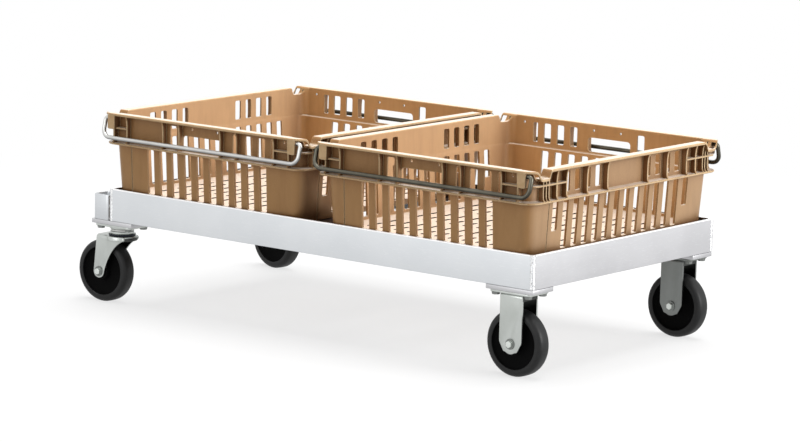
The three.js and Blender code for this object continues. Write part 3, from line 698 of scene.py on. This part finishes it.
def apron_cutters():
    """Windows, hand hole and screw holes of the long walls: the +Y wall is the -Y one turned."""
    made = []
    half_hand = [LONG_RIBS[3] * PITCH + 2.2, LONG_RIBS[4] * PITCH - 2.2]
    for turn in (1, -1):
        far, near = -turn * (RIM_Y + CUT_OVERRUN), -turn * (APRON_Y - 7)

        def opening(x0, x1, foot, top, corner, steps=2):
            made.append(block(turn * x0, turn * x1, far, near, foot, top, 1, corner, steps))

        for x in (share * PITCH for share in LONG_WINDOWS):
            opening(x - SLOT_WIDTH / 2, x + SLOT_WIDTH / 2, WINDOW_FOOT, WINDOW_TOP, SLOT_CORNER)
        opening(HALF_WINDOW[0] * PITCH, HALF_WINDOW[1] * PITCH, WINDOW_FOOT, WINDOW_TOP, 2.5)
        opening(*half_hand, 111, 139, 7, 4)
        for x in (share * PITCH for share in SCREW_HOLES):
            opening(x - HALF_SCREW_HOLE, x + HALF_SCREW_HOLE, SCREW_HOLE_HEIGHT - HALF_SCREW_HOLE,
                    SCREW_HOLE_HEIGHT + HALF_SCREW_HOLE, 1.6, 3)
    return made


# The line of a dip near the end of an end wall's rim: how far along Y, and how far down
DIP = [(246.5, 0), (248.6, -0.8), (250.6, -3.6), (252.9, -10), (254.9, -13.9), (258, -15),
       (275, -15), (278.5, -13.6), (282, -10), (285.5, -3.6), (288, -0.8), (290.5, 0)]


def dip_cutters():
    line = [(y, TOP + drop) for y, drop in DIP]
    above = TOP + CUT_OVERRUN
    return at_corners(across_x(drawn([(line[0][0], above), *line, (line[-1][0], above)],
                                     APRON_X - 20, RIM_X + CUT_OVERRUN, "dip")))


def dip_flanges():
    """The rim's flange where it follows the dips."""
    above = [(y, TOP + drop - 0.5) for y, drop in DIP]
    below = [(y, TOP + drop - RIM_LIP) for y, drop in reversed(DIP)]
    strip = across_x(drawn([*above, *below], APRON_X - 3, RIM_X, "flange"))
    limit = drawn(rounded_outline(RIM_X, RIM_Y, RIM_CORNER, 6), TOP - 40, TOP + 10, "limit", "Z")
    return at_corners(boolean(strip, limit, "INTERSECT"))


def leg_cutters():
    """Openings in the outer slopes of the dips, in which the legs of a swung-in bail lie."""
    reach = BAIL_WIRE + 1.4
    return [block(end * (BAIL_LEG - reach), end * (BAIL_LEG + reach), side * 274.5, side * 291,
                  TOP - 21, TOP - RIM_LIP - 0.1) for end, side in CORNERS]


def floor_cutters():
    """Long drain slots through the floor, in rows with short bridges between them."""
    made = []
    pattern = block(-DRAIN_HALF_WIDTH, DRAIN_HALF_WIDTH, -DRAIN_LENGTH / 2, DRAIN_LENGTH / 2, -3, 8,
                    along=2, corner=3.2, steps=1)
    for k in range(-6, 7):
        for row in range(-3, 4):
            made.append(copy_of(pattern, "drain", (k * PITCH, row * 2 * PITCH, 0)))
    bpy.data.objects.remove(pattern)
    return made


def wire_holes():
    return [rod(BAIL_HOLE, 20, 16, (end * 236.7, side * BAIL_Y, BAIL_HEIGHT), (0, math.pi / 2, 0))
            for end, side in CORNERS]


def crease_cutters():
    """A fine upright groove near one end of each wall of the tub."""
    made = []
    lean_long, lean_end = math.atan2(5.7, 104), math.atan2(6.3, 104)
    for turn in (0, math.pi):
        for groove, lean, axis, foot in (
                (block(-195.9, -194.1, -1.2, 1.2, -2, 111), lean_long, "X", (0, -279, 0)),
                (block(-1.2, 1.2, -229.9, -228.1, -2, 111), lean_end, "Y", (233.7, 0, 0))):
            groove.data.transform(Matrix.Rotation(turn, 4, "Z") @ Matrix.Translation(Vector(foot) * MM)
                                  @ Matrix.Rotation(lean, 4, axis))
            made.append(groove)
    return made


def make_tray():
    tray = tray_shell()
    ribs = joined([*tray_ribs(), *tray_levels(), *dip_flanges()], "ribs")
    boolean(tray, ribs, "UNION", overlapping=True)
    slots = joined([*slot_cutters(), *floor_cutters(), *crease_cutters()], "slots")
    boolean(tray, slots, "DIFFERENCE", overlapping=True)
    windows = joined([*apron_cutters(), *dip_cutters(), *leg_cutters(), *wire_holes()], "windows")
    boolean(tray, windows, "DIFFERENCE", overlapping=True)
    return merged(tray)


def shade_tray(tray, middle):
    """Gives the sides of the drain slots their painted shade, and the outermost edges their painted
    highlight.
    """
    tray.data.materials.append(drain_shade_plastic)
    tray.data.materials.append(edge_light_plastic)
    floor_x, floor_y, floor_top = 223, 268, 4.1
    outermost_x, outermost_y, ledge_foot = 250.5, 297.5, 103
    for face in tray.data.polygons:
        x, y, z = face.center / MM - Vector((*middle, TRAY_BASE))
        if abs(face.normal.z) > 0.3:
            continue
        outward_x, outward_y = x * face.normal.x > 0.5 * abs(x), y * face.normal.y > 0.5 * abs(y)
        if z < floor_top and abs(x) < floor_x and abs(y) < floor_y:
            face.material_index = 1
        elif z > ledge_foot and (abs(x) > outermost_x and outward_x
                                 or abs(y) > outermost_y and outward_y):
            face.material_index = 2


def place_trays():
    tray = make_tray()
    for side, (x, y) in TRAY_PLACES.items():
        piece = copy_of(tray, f"tray_{side}_moulding", (x, y, TRAY_BASE))
        shaded(piece, 40)
        coat(piece, tan_plastic)
        shade_tray(piece, (x, y))
        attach(piece, f"{side}_tray")
        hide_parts(f"tray_{side}")
    bpy.data.objects.remove(tray)


# Frame, casters and bails

FRAME_X, FRAME_Y = 44.608, 4.0
HALF_LENGTH, HALF_WIDTH = 520, 290
RAIL_BASE = 169.1
SHELF = 52
SOCKET_HALF, SOCKET_HEIGHT, SOCKET_GAP = 20, 50.5, 4
PAD_TOP, PAD_FOOT = 168.8, 160.3
PLATE_TOP, PLATE_FOOT = 160, 156
BOLT_X, BOLT_Y, BOLT_TURN = 36.5, 22, 0.4
BOLT_HOLE, AXLE_HOLE, PIN_HOLE = 4.3, 5.3, 6.35
CROWN_TOP, CROWN_FOOT = 137.3, 133.1
SEAL_TOP = 142.1
FORK_HALF, FORK_WALL = 24, 3.5
BOLT_FACE = FORK_HALF + 0.3
AXLE_HEIGHT = 62.5
TREAD_INNER = 48.2
SWIVEL_LEAD = 40

# Each caster's middle and, if it swivels, how far it has turned in degrees
CASTERS = {
    "front_left": (-471.392, -253.5, 2.7),
    "back_left": (-471.392, 261.5, -8.0),
    "front_right": (511.108, -253.5, None),
    "back_right": (511.108, 261.5, None),
}
BODY_OF = {node: body for body, nodes in frame["record"]["behaviour"]["bodies"].items()
           for node in nodes}


def dress(piece, node, material, degrees=35):
    """Finishes a piece that stands for a CAD node and rides where the node does."""
    extra(piece, f"{node}_dressed", BODY_OF[node], material, degrees)
    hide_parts(node)
    return piece


def extra(piece, name, body, material, degrees=35):
    """Finishes a piece that no CAD node stands for."""
    piece.name = piece.data.name = name
    shaded(piece, degrees)
    coat(piece, material)
    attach(piece, body)
    return piece


def bisect(piece, place, normal):
    """Cuts off what lies on the normal's side of a plane, and closes the cut."""
    edit(piece)
    bpy.ops.mesh.bisect(plane_co=Vector(place) * MM, plane_no=normal, use_fill=True, clear_outer=True)
    fresh()
    return piece


# The channel's section, seen along it: its foot, its shelf and the lip over the shelf. Edges and
# roots are rounded as they leave the die.
CHANNEL = [(0.6, 0), *arc(62.6, 2.4, 2.4, -90, 0, 3), *arc(62.6, 2.6, 2.4, 0, 90, 3),
           *arc(8, 8, 3, 270, 180, 3), *arc(8, SHELF - 8, 3, 180, 90, 3),
           *arc(68, SHELF - 3, 2, -90, 0, 2), *arc(68, SHELF - 2, 2, 0, 90, 2),
           *arc(7, SHELF + 2, 2, 270, 180, 2), *arc(2.6, 62.6, 2.4, 0, 90, 3),
           *arc(2.4, 62.6, 2.4, 90, 180, 3), (0, 0.6)]
LIP_INNER, LIP_TOP = 4, 62.7


def make_rail(node, half, turn, middle, material):
    """One side of the frame, drawn along X and mitred at both ends."""
    rail = across_x(drawn(CHANNEL, -half - 2, half + 2, node))
    for end in (-1, 1):
        bisect(rail, (end * (half - 0.15), 0, 0), (end, 1, 0))
    # Painted shade: the faces inside the lip, above the shelf, take the dark trough finish.
    shaded_trough_faces = [face.index for face in rail.data.polygons
             if face.center.y > (LIP_INNER + 0.5) * MM and face.center.z > (SHELF - 0.5) * MM]
    # Painted highlight: the lip's top faces take the near-white aluminium.
    bright = [face.index for face in rail.data.polygons
              if face.center.y < LIP_INNER * MM and face.center.z > LIP_TOP * MM]
    dress(move(rail, middle, turn), node, material)
    rail.data.materials.append(trough_shade_metal)
    rail.data.materials.append(lip_highlight_metal)
    for faces, finish in ((shaded_trough_faces, 1), (bright, 2)):
        for face in faces:
            rail.data.polygons[face].material_index = finish


def make_rails():
    for node, side, turn in (("rail_front", -1, 0), ("rail_back", 1, math.pi)):
        make_rail(node, HALF_LENGTH, turn, (FRAME_X, FRAME_Y + side * HALF_WIDTH, RAIL_BASE),
                  rail_metal_long)
    for node, end, turn in (("rail_right_end", 1, math.pi / 2), ("rail_left_end", -1, -math.pi / 2)):
        make_rail(node, HALF_WIDTH, turn, (FRAME_X + end * HALF_LENGTH, FRAME_Y, RAIL_BASE),
                  shaded_rail_metal)


def make_saddles():
    """A bare dark plate on each long rail's shelf, where the ends of the two trays meet: a dark sheet
    put as painted shade in the gap between the trays.
    """
    shelf_top = RAIL_BASE + SHELF
    for side, sy in SIDES:
        plate = drawn(rounded_outline(84, 38, 10, 5), shelf_top - 5, shelf_top - 0.1, "saddle", "Z")
        apply_bevel(plate, 0.6, 2, 60)
        move(plate, (FRAME_X, FRAME_Y + sy * (HALF_WIDTH - 104), 0))
        extra(plate, f"saddle_plate_{side}", "frame", trough_shade_metal)


def weld_bead(name, x, y, z0, z1, radius, seed, material):
    """An upright weld: a rod whose radius swells and shrinks from pool to pool."""
    draw = random.Random(seed)
    profile = [(0, z0)]
    height = z0
    while height < z1 - 1.2:
        swell = radius * draw.uniform(0.92, 1.08)
        profile += [(swell * 0.86, height + 0.15), (swell, height + 0.8), (swell * 0.95, height + 1.5)]
        height += draw.uniform(1.9, 2.5)
    profile += [(radius * 0.85, z1 - 0.1), (0, z1)]
    bead = turned(profile, 14, name)
    for vert in bead.data.vertices:
        wobble = 1 + draw.uniform(-0.07, 0.07)
        vert.co.x *= wobble
        vert.co.y *= wobble
    return extra(move(bead, (x, y, 0)), name, "frame", material, 50)


def make_welds():
    """Beads up the frame's mitres, and up both edges of each socket."""
    seed = 3
    inset = 3.9
    for sx, end in ((-1, "left"), (1, "right")):
        for side, sy in SIDES:
            weld_bead(f"corner_weld_{side}_{end}", FRAME_X + sx * (HALF_LENGTH - inset),
                      FRAME_Y + sy * (HALF_WIDTH - inset), RAIL_BASE + 0.3, RAIL_BASE + 64.8, 5.2,
                      seed, weld_metal)
            seed += 1
    # The sockets' beads take the blacker weld, painted shade in the gaps beside them.
    for side, sy in SIDES:
        for k, inset in enumerate((3.2, 37)):
            weld_bead(f"socket_weld_{side}_{k + 1}", FRAME_X - HALF_LENGTH - SOCKET_GAP / 2,
                      FRAME_Y + sy * (HALF_WIDTH - inset), RAIL_BASE + 0.5,
                      RAIL_BASE + SOCKET_HEIGHT - 0.5, 3, seed, shaded_weld)
            seed += 1


def make_sockets():
    """The square tubes outside the swivel end, with rounded corners and an open bore."""
    half, bore = SOCKET_HALF, SOCKET_HALF - 3
    for side, sy in SIDES:
        tube = drawn(rounded_outline(half, half, 6, 5), 0, SOCKET_HEIGHT, "socket", "Z")
        boolean(tube, drawn(rounded_outline(bore, bore, 3, 4), -5, 60, "bore", "Z"), "DIFFERENCE")
        apply_bevel(tube, 0.5, 2, 60)
        move(tube, (FRAME_X - HALF_LENGTH - SOCKET_GAP - half, FRAME_Y + sy * (HALF_WIDTH - half),
                    RAIL_BASE))
        dress(tube, f"handle_socket_{side}", rail_metal_long)


BOLT_PLACES = [(end * BOLT_X, side * BOLT_Y) for end, side in CORNERS]


def hexagon(radius, z0, z1, chamfer_low, chamfer_high, name):
    """A hexagonal head or nut whose corners are turned down at the ends that are asked for."""
    head = rod(radius, z1 - z0, 6, (0, 0, (z0 + z1) / 2), name=name)
    low, high = (0.93 if chamfer_low else 1.1), (0.93 if chamfer_high else 1.1)
    lathe = turned([(0, z0), (radius * low, z0), (radius * 1.04, z0 + 1.2), (radius * 1.04, z1 - 1.2),
                    (radius * high, z1), (0, z1)], 36, "chamfer")
    return boolean(head, lathe, "INTERSECT")


def plate_bolt():
    """A plated hex bolt with a washer, its head down and its tip up in the pad."""
    bolt = hexagon(7.5, -5.5, -1.6, True, False, "plate_bolt")
    washer = turned([(0, -1.7), (7.9, -1.7), (8.2, -1.4), (8.2, -0.4), (0, -0.4)], 32, "washer")
    shank = turned([(0, -0.5), (3.9, -0.5), (3.9, 10.4), (3.2, 11.2), (0, 11.2)], 20, "shank")
    return joined([bolt, washer, shank], "plate_bolt")


def pierced(piece):
    """Bores the four bolt holes of a plate or pad."""
    holes = [rod(BOLT_HOLE, 30, 20, (x, y, PLATE_TOP)) for x, y in BOLT_PLACES]
    return boolean(piece, joined(holes, "holes"), "DIFFERENCE")


def make_pads():
    """The pads welded under the frame's corners and the bolts that hold the casters to them."""
    pad = pierced(drawn(rounded_outline(53.5, 32.5, 2.5, 3), PAD_FOOT, PAD_TOP, "pad", "Z"))
    apply_bevel(pad, 0.7, 2, 60)
    bolt = plate_bolt()
    for corner, (x, y, _) in CASTERS.items():
        # Painted shade: the pads take the darker aluminium and the bolts the darker zinc.
        dress(copy_of(pad, "pad", (x, y, 0)), f"corner_pad_{corner}", shaded_rail_metal)
        for k, (dx, dy) in enumerate(BOLT_PLACES):
            dress(copy_of(bolt, "bolt", (x + dx, y + dy, PLATE_FOOT), BOLT_TURN * k),
                  f"plate_bolt_{corner}_{k + 1}", shadowed_zinc)
    bpy.data.objects.remove(pad)
    bpy.data.objects.remove(bolt)


def wheel_body():
    """The wheel: crowned tread, round shoulders, a moulded line, a recessed web and its hub."""
    half = [(8, 19), (15.6, 19), (17.2, 18.6), (18, 17.4), (18.6, 12), (19.6, 9.4), (22, 8), (30, 7.6),
            (40, 8), (45, 9.2), (47.4, 11.6), (48.6, 15), (49.6, 16), (51.4, 16),
            *arc(53.3, 7, 9.1, 80, 12, 7), (62.5, 3)]
    profile = [*half, *[(r, -y) for r, y in reversed(half)]]
    return turned(profile, 72, "wheel", axis="Y")


def axle_bolt():
    """A hex bolt with its washer outside one leg of the fork and its thread outside the other."""
    face = BOLT_FACE
    head = hexagon(6.6, -face - 5.5, -face - 1.2, True, False, "axle_bolt")
    washer = turned([(0, -face - 1.3), (9.6, -face - 1.3), (9.9, -face - 1), (9.9, -face), (0, -face)],
                    36, "washer")
    thread = [(5, -face - 0.1), (5, face + 4)]
    level = face + 4
    while level < face + 8.6:
        thread += [(5, level + 0.3), (4.4, level + 0.7)]
        level += 1
    shank = turned([(0, -face - 0.1), *thread, (4.2, face + 9.5), (0, face + 9.5)], 24, "shank")
    bolt = joined([head, washer, shank], "axle_bolt")
    bolt.data.transform(Matrix.Rotation(-math.pi / 2, 4, "X"))
    return bolt


def axle_nut():
    nut = hexagon(8, BOLT_FACE + 0.2, BOLT_FACE + 6.5, True, True, "axle_nut")
    bore = turned([(0, 0), (AXLE_HOLE, 0), (AXLE_HOLE, 60), (0, 60)], 24, "bore")
    boolean(nut, bore, "DIFFERENCE")
    nut.data.transform(Matrix.Rotation(-math.pi / 2, 4, "X"))
    return nut


def bush():
    half = FORK_HALF - FORK_WALL - 0.3
    return turned([(AXLE_HOLE, -half), (7.3, -half), (7.7, -half + 0.4), (7.7, half - 0.4),
                   (7.3, half), (AXLE_HOLE, half)], 32, "bush", axis="Y")


def bored(piece, x, z):
    """The axle hole through both legs of a fork."""
    return boolean(piece, rod(AXLE_HOLE, 70, 24, (x, 0, z), (math.pi / 2, 0, 0)), "DIFFERENCE")


def bent_sheet(x0, x1, top, foot, radius):
    """A sheet bent into an upturned U across Y, run along X."""
    outer, inner = FORK_HALF, FORK_HALF - FORK_WALL
    bend, level = outer - radius, top - radius
    outline = [(-outer, foot), *arc(-bend, level, radius, 180, 90, 4),
               *arc(bend, level, radius, 90, 0, 4), (outer, foot),
               (inner, foot), *arc(bend, level, radius - FORK_WALL, 0, 90, 3),
               *arc(-bend, level, radius - FORK_WALL, 90, 180, 3), (-inner, foot)]
    return across_x(drawn(outline, x0, x1, "sheet"))


def bolt_plate():
    """A caster's plate with its corners cut and its bolt holes bored."""
    return pierced(drawn(rounded_outline(46, 31, 7, 4), PLATE_FOOT, PLATE_TOP, "plate", "Z"))


def fixed_fork():
    """A fixed caster's bent fork, the lips that tie its legs, and its plate."""
    half = 25
    fork = bent_sheet(-half, half, PLATE_FOOT + 0.3, 20, 6.5)
    foot = AXLE_HEIGHT - 18.5
    side = drawn([(half, 170), (-half, 170), (-half, foot + 24), (-24.2, foot + 20.5),
                  (-15.2, foot + 4.6), *arc(0, foot + 17, 17, 235, 305, 8), (15.2, foot + 4.6),
                  (24.2, foot + 20.5), (half, foot + 24)], -40, 40, "side")
    boolean(fork, side, "INTERSECT")
    lips = [block(end * (half - FORK_WALL), end * half, -22, 22, 143.5, 155) for end in (-1, 1)]
    boolean(fork, joined(lips, "lips"), "UNION", True)
    bored(fork, 0, AXLE_HEIGHT)
    apply_bevel(fork, 0.7, 2, 45)
    return joined([fork, apply_bevel(bolt_plate(), 0.7, 2, 60)], "fixed_fork")


def swivel_leg_outline():
    """A leg from behind its crown, down round the axle and back up in one long bend."""
    start, elbow, end = Vector((-27, AXLE_HEIGHT)), Vector((-11, 116)), Vector((23, 130))
    shares = [k / 10 for k in range(1, 11)]
    bend = [(1 - t) ** 2 * start + 2 * t * (1 - t) * elbow + t * t * end for t in shares]
    return [(23, 140), (-45.5, 140), *arc(-SWIVEL_LEAD, AXLE_HEIGHT, 13, 180, 360, 14), *bend]


def swivel_fork():
    """A swivel caster's bent fork under its round crown."""
    fork = bent_sheet(-60, 40, CROWN_TOP, 20, 6)
    boolean(fork, drawn(swivel_leg_outline(), -40, 40, "side"), "INTERSECT")
    crown = turned([(6.9, CROWN_FOOT), (27, CROWN_FOOT), (27, 129), (27.6, 128.1), (30.2, 128.1),
                    (31, 129), (31, 134.6), (30, 136.6), (28.4, CROWN_TOP), (6.9, CROWN_TOP)],
                   48, "crown")
    boolean(fork, crown, "UNION", True)
    boolean(fork, turned([(0, 120), (6.9, 120), (6.9, 150), (0, 150)], 32, "hole"), "DIFFERENCE")
    bored(fork, -SWIVEL_LEAD, AXLE_HEIGHT)
    return apply_bevel(fork, 0.7, 2, 45)


def swivel_plate():
    """The caster plate with its pressed upper raceway."""
    race = turned([(6.4, 151.3), (23.6, 151.3), (24.6, 152), (25, 153.2), (25, 155), (24.4, 156.5),
                   (6.4, 156.5)], 48, "race")
    plate = boolean(bolt_plate(), race, "UNION")
    hole = turned([(0, 140), (PIN_HOLE, 140), (PIN_HOLE, 170), (0, 170)], 32, "hole")
    return apply_bevel(boolean(plate, hole, "DIFFERENCE"), 0.6, 2, 60)


def give(piece, material, test):
    """Gives the faces that pass the test a second finish."""
    piece.data.materials.append(material)
    for face in piece.data.polygons:
        if test(face):
            face.material_index = 1


def from_axle(face, hub, turn):
    """How far a face lies from an axle's line, and how far out along it."""
    along = Vector((-math.sin(turn), math.cos(turn), 0))
    reach = face.center - Vector(hub) * MM
    return (reach - along * reach.dot(along)).length / MM, reach.dot(along) / MM


def swivel_bearing():
    """The ring of balls, the lower race and the kingpin of a swivel caster."""
    balls = turned([(15, 146.6), (22.2, 146.6), (23, 147.4), (23, 150.2), (22.2, 151), (15, 151)],
                   48, "balls")
    race = turned([(PIN_HOLE, 137.6), (26.2, 137.6), (27, 138.4), (27, 141.2), (26.2, 142),
                   (24.4, 142.2), (23.6, 143), (23.6, 146.3), (PIN_HOLE, 146.3)], 48, "race")
    pin = turned([(0, 126.3), (7.5, 126.3), (10, 127.4), (11, 129.4), (11, 132.8), (6, 132.8),
                  (6, 159.7), (0, 159.7)], 32, "pin")
    return balls, race, pin


def make_casters():
    wheel, bolt, nut, sleeve = wheel_body(), axle_bolt(), axle_nut(), bush()
    fixed, swung, plate = fixed_fork(), swivel_fork(), swivel_plate()
    balls, race, pin = swivel_bearing()
    for corner, (x, y, degrees) in CASTERS.items():
        rigid = degrees is None
        turn = math.radians(degrees or 0)
        lead = 0 if rigid else SWIVEL_LEAD
        hub = (x - lead * math.cos(turn), y - lead * math.sin(turn), AXLE_HEIGHT)

        def on_axle(pattern, word, material):
            return dress(copy_of(pattern, word, hub, turn), f"{word}_{corner}", material)

        def under_plate(pattern, word, material, swing=0):
            return dress(copy_of(pattern, word, (x, y, 0), swing), f"{word}_{corner}", material)

        def in_wheel(face):
            return from_axle(face, hub, turn)[0] < TREAD_INNER

        def on_washer(face):
            distance, out = from_axle(face, hub, turn)
            return -FORK_HALF - 1.7 < out < -FORK_HALF and distance > 4

        def inside_fork(face):
            top = PLATE_FOOT - 0.5 if rigid else CROWN_FOOT - 0.1
            out = from_axle(face, hub, turn)[1]
            return abs(out) < FORK_HALF - FORK_WALL + 0.2 and face.center.z < top * MM

        give(on_axle(wheel, "wheel", rubber), core, in_wheel)
        # Painted highlight and shade: the bolt's head takes the brighter zinc, its washer the darker
        # zinc as a dark ring.
        give(on_axle(bolt, "axle_bolt", lit_zinc), shadowed_zinc, on_washer)
        on_axle(nut, "axle_nut", zinc)
        on_axle(sleeve, "bush", zinc)
        # Painted shade: the far fixed fork takes the darker zinc.
        plated = shadowed_zinc if corner == "back_right" else zinc
        fork = under_plate(fixed if rigid else swung, "fork", plated, turn)
        give(fork, shade_zinc, inside_fork)
        if rigid:
            continue
        under_plate(plate, "caster_plate", zinc)
        under_plate(balls, "ball_ring", steel)
        give(under_plate(race, "lower_race", zinc), seal_dark,
             lambda face: face.center.z < SEAL_TOP * MM)
        under_plate(pin, "kingpin", zinc)
    for pattern in (wheel, bolt, nut, sleeve, fixed, swung, plate, balls, race, pin):
        bpy.data.objects.remove(pattern)


def bail_wire():
    """A bail drawn as one bent wire, leaning out, with its hinge line through the origin."""
    drop, bar_bend, top_bend, tail, lean = 39, 17, 6, 227, math.radians(14)
    half = [*arc(BAIL_LEG - bar_bend, bar_bend - drop, bar_bend, -90, 0, 8),
            *arc(BAIL_LEG - top_bend, -top_bend, top_bend, 0, 90, 5), (tail, 0)]
    line = [*[(-x, z) for x, z in reversed(half)], *half]
    take(traced([Vector((x, 0, z)) * MM for x, z in line], "wire"))
    bpy.ops.object.convert(target="CURVE")
    wire = bpy.context.object
    wire.data.bevel_depth = BAIL_WIRE * MM
    wire.data.bevel_resolution = 4
    wire.data.use_fill_caps = True
    bpy.ops.object.convert(target="MESH")
    wire = bpy.context.object
    wire.data.transform(Matrix.Rotation(-lean, 4, "X"))
    return merged(wire)


def make_bails():
    wire = bail_wire()
    for side, (x, y) in TRAY_PLACES.items():
        for end, sy in SIDES:
            bail = copy_of(wire, "bail", (x, y + sy * BAIL_Y, TRAY_BASE + BAIL_HEIGHT),
                           0 if sy < 0 else math.pi)
            # Painted shade: every bail but the front left one takes the dark copy of the steel.
            material = steel if (side, end) == ("left", "front") else shaded_steel
            dress(bail, f"bail_{side}_{end}", material, degrees=60)
    bpy.data.objects.remove(wire)


place_trays()
make_rails()
make_saddles()
make_welds()
make_sockets()
make_pads()
make_casters()
make_bails()

# Camera, floor and light

FOCAL_PIXELS = 3580.81
IMAGE_WIDTH = 800
SENSOR = 36
FLOOR_SIZE = 60
FLOOR_GLOW, GLOW_NEAR, GLOW_FAR = 0.72, 0.9, 2.2
CAMERA_PLACE = Vector((4.308291, -5.397195, 1.362421))
CAMERA_YAW = 0.67027
CAMERA_PITCH = 0.16759
CAMERA_ROLL = 0.02317


def set_camera():
    forward = Vector((-math.sin(CAMERA_YAW) * math.cos(CAMERA_PITCH),
                      math.cos(CAMERA_YAW) * math.cos(CAMERA_PITCH), -math.sin(CAMERA_PITCH)))
    level = Vector((math.cos(CAMERA_YAW), math.sin(CAMERA_YAW), 0))
    upright = level.cross(forward)
    right = math.cos(CAMERA_ROLL) * level + math.sin(CAMERA_ROLL) * upright
    up = math.cos(CAMERA_ROLL) * upright - math.sin(CAMERA_ROLL) * level
    data = bpy.data.cameras.new("camera")
    data.sensor_width = SENSOR
    data.lens = FOCAL_PIXELS / IMAGE_WIDTH * SENSOR
    data.clip_end = 100
    camera = bpy.data.objects.new("camera", data)
    bpy.context.scene.collection.objects.link(camera)
    turn = Matrix((right, up, -forward)).transposed().to_4x4()
    camera.matrix_world = Matrix.Translation(CAMERA_PLACE) @ turn
    bpy.context.scene.camera = camera


def lamp(name, place, aim, size, power):
    data = bpy.data.lights.new(name, "AREA")
    data.shape = "RECTANGLE"
    data.size, data.size_y = size
    data.energy = power
    light = bpy.data.objects.new(name, data)
    bpy.context.scene.collection.objects.link(light)
    light.location = place
    light.rotation_euler = (Vector(aim) - Vector(place)).to_track_quat("-Z", "Y").to_euler()


def seen_directly(nodes, links):
    """1 for rays from the camera or off metal and glass, 0 for the light that falls on things."""
    path = nodes.new("ShaderNodeLightPath")
    total = None
    for output in ("Is Camera Ray", "Is Glossy Ray", "Is Transmission Ray"):
        if total is None:
            total = path.outputs[output]
            continue
        larger = nodes.new("ShaderNodeMath")
        larger.operation = "MAXIMUM"
        links.new(total, larger.inputs[0])
        links.new(path.outputs[output], larger.inputs[1])
        total = larger.outputs[0]
    return total


def set_world(strength):
    """White to the camera and in reflections, and this strong as a light."""
    world = bpy.data.worlds.new("studio")
    world.use_nodes = True
    bpy.context.scene.world = world
    nodes, links = world.node_tree.nodes, world.node_tree.links
    background = nodes["Background"]
    background.inputs["Color"].default_value = (1, 1, 1, 1)
    level = nodes.new("ShaderNodeMath")
    level.operation = "MULTIPLY_ADD"
    links.new(seen_directly(nodes, links), level.inputs[0])
    level.inputs[1].default_value = 1 - strength
    level.inputs[2].default_value = strength
    links.new(level.outputs[0], background.inputs["Strength"])


def lay_floor():
    """A floor that is white where nothing shades it, and throws back little light."""
    fresh()
    bpy.ops.mesh.primitive_plane_add(size=FLOOR_SIZE)
    floor = bpy.context.object
    floor.name = "studio_floor"
    finish = Finish("pale_floor", Roughness=1, Specular_IOR_Level=0)
    seen = finish.add("ShaderNodeLightPath")
    cloth = finish.mix(seen, (0.34, 0.34, 0.34), (0.9, 0.9, 0.9))
    finish.paint(Base_Color=cloth)
    point = finish.add("ShaderNodeTexCoord", output=3)
    away = finish.add("ShaderNodeVectorMath", {"operation": "LENGTH"}, point, output=1)
    share = finish.add("ShaderNodeMapRange", None, away, GLOW_NEAR, GLOW_FAR, FLOOR_GLOW, 1)
    glow = finish.add("ShaderNodeEmission", None)
    factor = share * Value(finish, seen_directly(finish.nodes, finish.links))
    matt = Value(finish, finish.shader.outputs[0])
    blend = finish.add("ShaderNodeMixShader", None, factor, matt, glow)
    finish.links.new(blend.socket, finish.nodes["Material Output"].inputs["Surface"])
    floor.data.materials.append(finish.material)


set_camera()
set_world(0.3)
lay_floor()
lamp("right_softbox", (5.0, 1.2, 1.6), (0.1, 0, 0.25), (2.5, 2), 150)
lamp("front_softbox", (-1.0, -5.5, 1.6), (0, 0, 0.2), (3, 2), 42)
lamp("sky_softbox", (0, 0.6, 4.4), (0, 0, 0.2), (4, 4), 250)
bpy.context.scene.view_settings.view_transform = "Standard"
